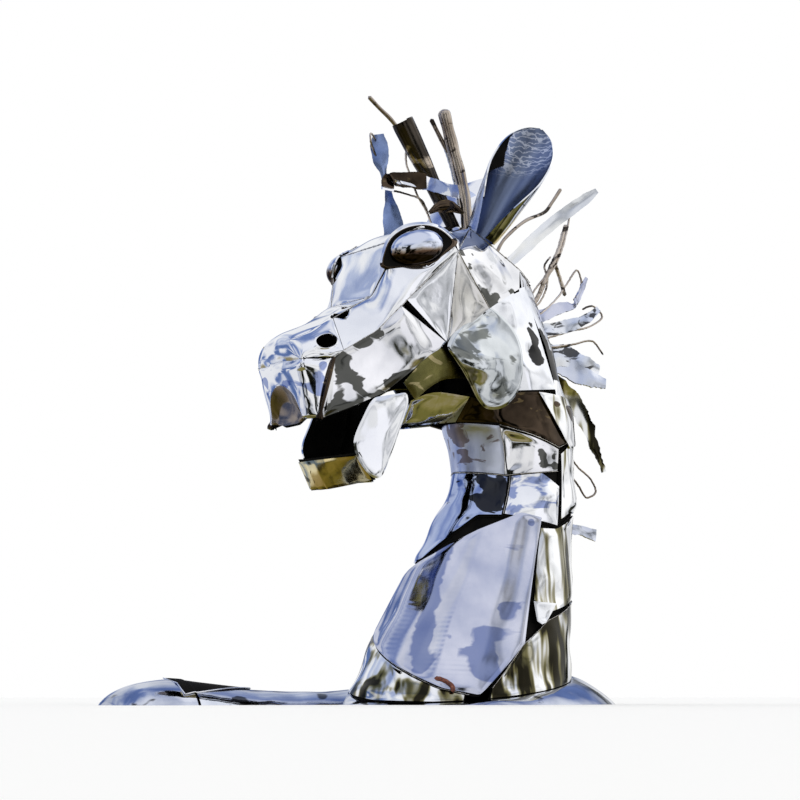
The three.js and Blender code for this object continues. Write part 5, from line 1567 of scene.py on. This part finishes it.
def photo_camera(scene):
    """A camera at the photo's eye point, turned by the yaw and tipped up by the horizon's angle."""
    right = np.array((math.cos(CAMERA_YAW), math.sin(CAMERA_YAW), 0))
    ahead = np.array((-math.sin(CAMERA_YAW), math.cos(CAMERA_YAW), 0))
    lens = bpy.data.cameras.new("photo_camera")
    lens.sensor_width, lens.lens = SENSOR_MM, SENSOR_MM * FOCAL_PX / PICTURE_PX
    lens.clip_start, lens.clip_end = 0.05, 200
    camera = bpy.data.objects.new("photo_camera", lens)
    camera.location = (-CAMERA_AWAY * ahead + CAMERA_SIDEWAYS * right + np.array((0, 0, CAMERA_HEIGHT))) * MM
    camera.rotation_euler = (math.pi / 2 + math.atan2(HORIZON_PX, FOCAL_PX), 0, CAMERA_YAW)
    scene.collection.objects.link(camera)
    scene.camera = camera
    scene.view_settings.view_transform = "Standard"


def pale_floor(scene):
    """A pale level floor that the mirrors don't see."""
    made, tree, shader = material("pale_studio_floor")
    feed(tree, shader, {"Base Color": linear("#fdfdfc"), "Roughness": 0.9})
    mesh = bpy.data.meshes.new("floor")
    corners = [(x * FLOOR_REACH, y * FLOOR_REACH, 0) for x, y in ((-1, -1), (1, -1), (1, 1), (-1, 1))]
    mesh.from_pydata(corners, [], [(0, 1, 2, 3)])
    mesh.materials.append(made)
    floor = bpy.data.objects.new("floor", mesh)
    floor.visible_glossy = False
    scene.collection.objects.link(floor)


# Bright patches of the surroundings: heading, where they begin and are whole (cosines), colour, strength
BRIGHT_PATCHES = [((0.79, -0.2, 0.58), 0.86, 0.95, "#ffffff", 1.3),
                  ((0.57, -0.82, -0.02), 0.962, 0.984, "#f6f6fa", 1.2),
                  ((-0.03, -0.58, 0.82), 0.81, 0.91, "#f0f2f9", 1.08)]
OPEN_SIDE = (-0.5, 0.86, 0.0)
RAGGED = 0.12


def dome(tree):
    """What the mirrors see: pale blue and white above, grey and dark patches round the level with a low blue
    sky on the open side, bright patches, and olive below."""
    way = node(tree, "ShaderNodeTexCoord").outputs["Generated"]
    height = node(tree, "ShaderNodeSeparateXYZ", {"Vector": way}).outputs["Z"]
    puffs = node(tree, "ShaderNodeTexNoise", {
        "Vector": way, "Scale": 1.7, "Detail": 2.0, "Roughness": 0.45, "Distortion": 0.4}).outputs["Fac"]
    sky = node(tree, "ShaderNodeValToRGB", {"Fac": puffs}, stops=[
        (0.38, "#7389bd"), (0.45, "#9aa9d1"), (0.5, "#bcc7e2"), (0.55, "#dde3f1"),
        (0.62, "#fafbfd")]).outputs["Color"]
    haze = node(tree, "ShaderNodeTexNoise", {
        "Vector": way, "Scale": 2.6, "Detail": 2.0, "Roughness": 0.5, "Distortion": 0.6}).outputs["Fac"]
    band = node(tree, "ShaderNodeValToRGB", {"Fac": haze}, stops=[
        (0.38, "#12130d"), (0.44, "#3a3b31"), (0.452, "#8b8d8d"), (0.49, "#bfc1c4"), (0.53, "#dddee1"),
        (0.57, "#fbfbfb")]).outputs["Color"]
    flecks = node(tree, "ShaderNodeTexNoise", {
        "Vector": way, "Scale": 2.8, "Detail": 1.0, "Distortion": 0.4}).outputs["Fac"]
    low_sky = node(tree, "ShaderNodeValToRGB", {"Fac": flecks}, stops=[
        (0.36, "#5f77ab"), (0.46, "#8a9cc8"), (0.475, "#c3cbe0"), (0.54, "#e3e6f0"),
        (0.6, "#f7f8fb")]).outputs["Color"]
    toward = node(tree, "ShaderNodeVectorMath", {
        0: way, 1: OPEN_SIDE}, operation="DOT_PRODUCT").outputs["Value"]
    open_side = node(tree, "ShaderNodeMapRange", {
        "Value": toward, "From Min": 0.1, "From Max": 0.5}).outputs["Result"]
    over = node(tree, "ShaderNodeMapRange", {
        "Value": height, "From Min": 0.3, "From Max": 0.5}).outputs["Result"]
    view = node(tree, "ShaderNodeMix", {
        "Factor": open_side, "A": band, "B": low_sky}, data_type="RGBA").outputs[2]
    view = node(tree, "ShaderNodeMix", {"Factor": over, "A": view, "B": sky}, data_type="RGBA").outputs[2]
    for heading, start, full, code, strength in BRIGHT_PATCHES:
        toward = node(tree, "ShaderNodeVectorMath", {
            0: way, 1: heading}, operation="DOT_PRODUCT").outputs["Value"]
        ragged = node(tree, "ShaderNodeMath", {
            0: flecks, 1: RAGGED, 2: toward}, operation="MULTIPLY_ADD").outputs[0]
        bright = node(tree, "ShaderNodeMapRange", {
            "Value": ragged, "From Min": start + RAGGED / 2, "From Max": full + RAGGED / 2}).outputs["Result"]
        colour = [strength * c for c in linear(code)]
        view = node(tree, "ShaderNodeMix", {
            "Factor": bright, "A": view, "B": colour}, data_type="RGBA").outputs[2]
    turf = node(tree, "ShaderNodeTexNoise", {"Vector": way, "Scale": 3.0, "Detail": 3.0}).outputs["Fac"]
    ground = node(tree, "ShaderNodeValToRGB", {"Fac": turf}, stops=[
        (0.38, "#2f2b1a"), (0.44, "#6f6a34"), (0.54, "#857c45"), (0.64, "#a2977c")]).outputs["Color"]
    edge = node(tree, "ShaderNodeMapRange", {
        "Value": open_side, "To Min": 0.36, "To Max": 0.38}).outputs["Result"]
    depth = node(tree, "ShaderNodeMath", {0: height, 1: edge}, operation="ADD").outputs[0]
    below = node(tree, "ShaderNodeMapRange", {
        "Value": depth, "From Min": 0.0, "From Max": -0.06}).outputs["Result"]
    return node(tree, "ShaderNodeMix", {"Factor": below, "A": view, "B": ground}, data_type="RGBA").outputs[2]


def surroundings(scene):
    """White surroundings for the camera and the floor, and the dome for the mirrors."""
    world = bpy.data.worlds.new("studio_world")
    scene.world = world
    world.use_nodes = True
    tree = world.node_tree
    tree.nodes.clear()
    glossy = node(tree, "ShaderNodeLightPath").outputs["Is Glossy Ray"]
    seen, plain = [node(tree, "ShaderNodeBackground", {
        "Color": colour, "Strength": 1.0}).outputs["Background"]
                   for colour in (dome(tree), (1, 1, 1, 1))]
    both = node(tree, "ShaderNodeMixShader", {0: glossy, 1: plain, 2: seen}).outputs[0]
    node(tree, "ShaderNodeOutputWorld", {"Surface": both})


for build in (photo_camera, pale_floor, surroundings):
    build(bpy.context.scene)
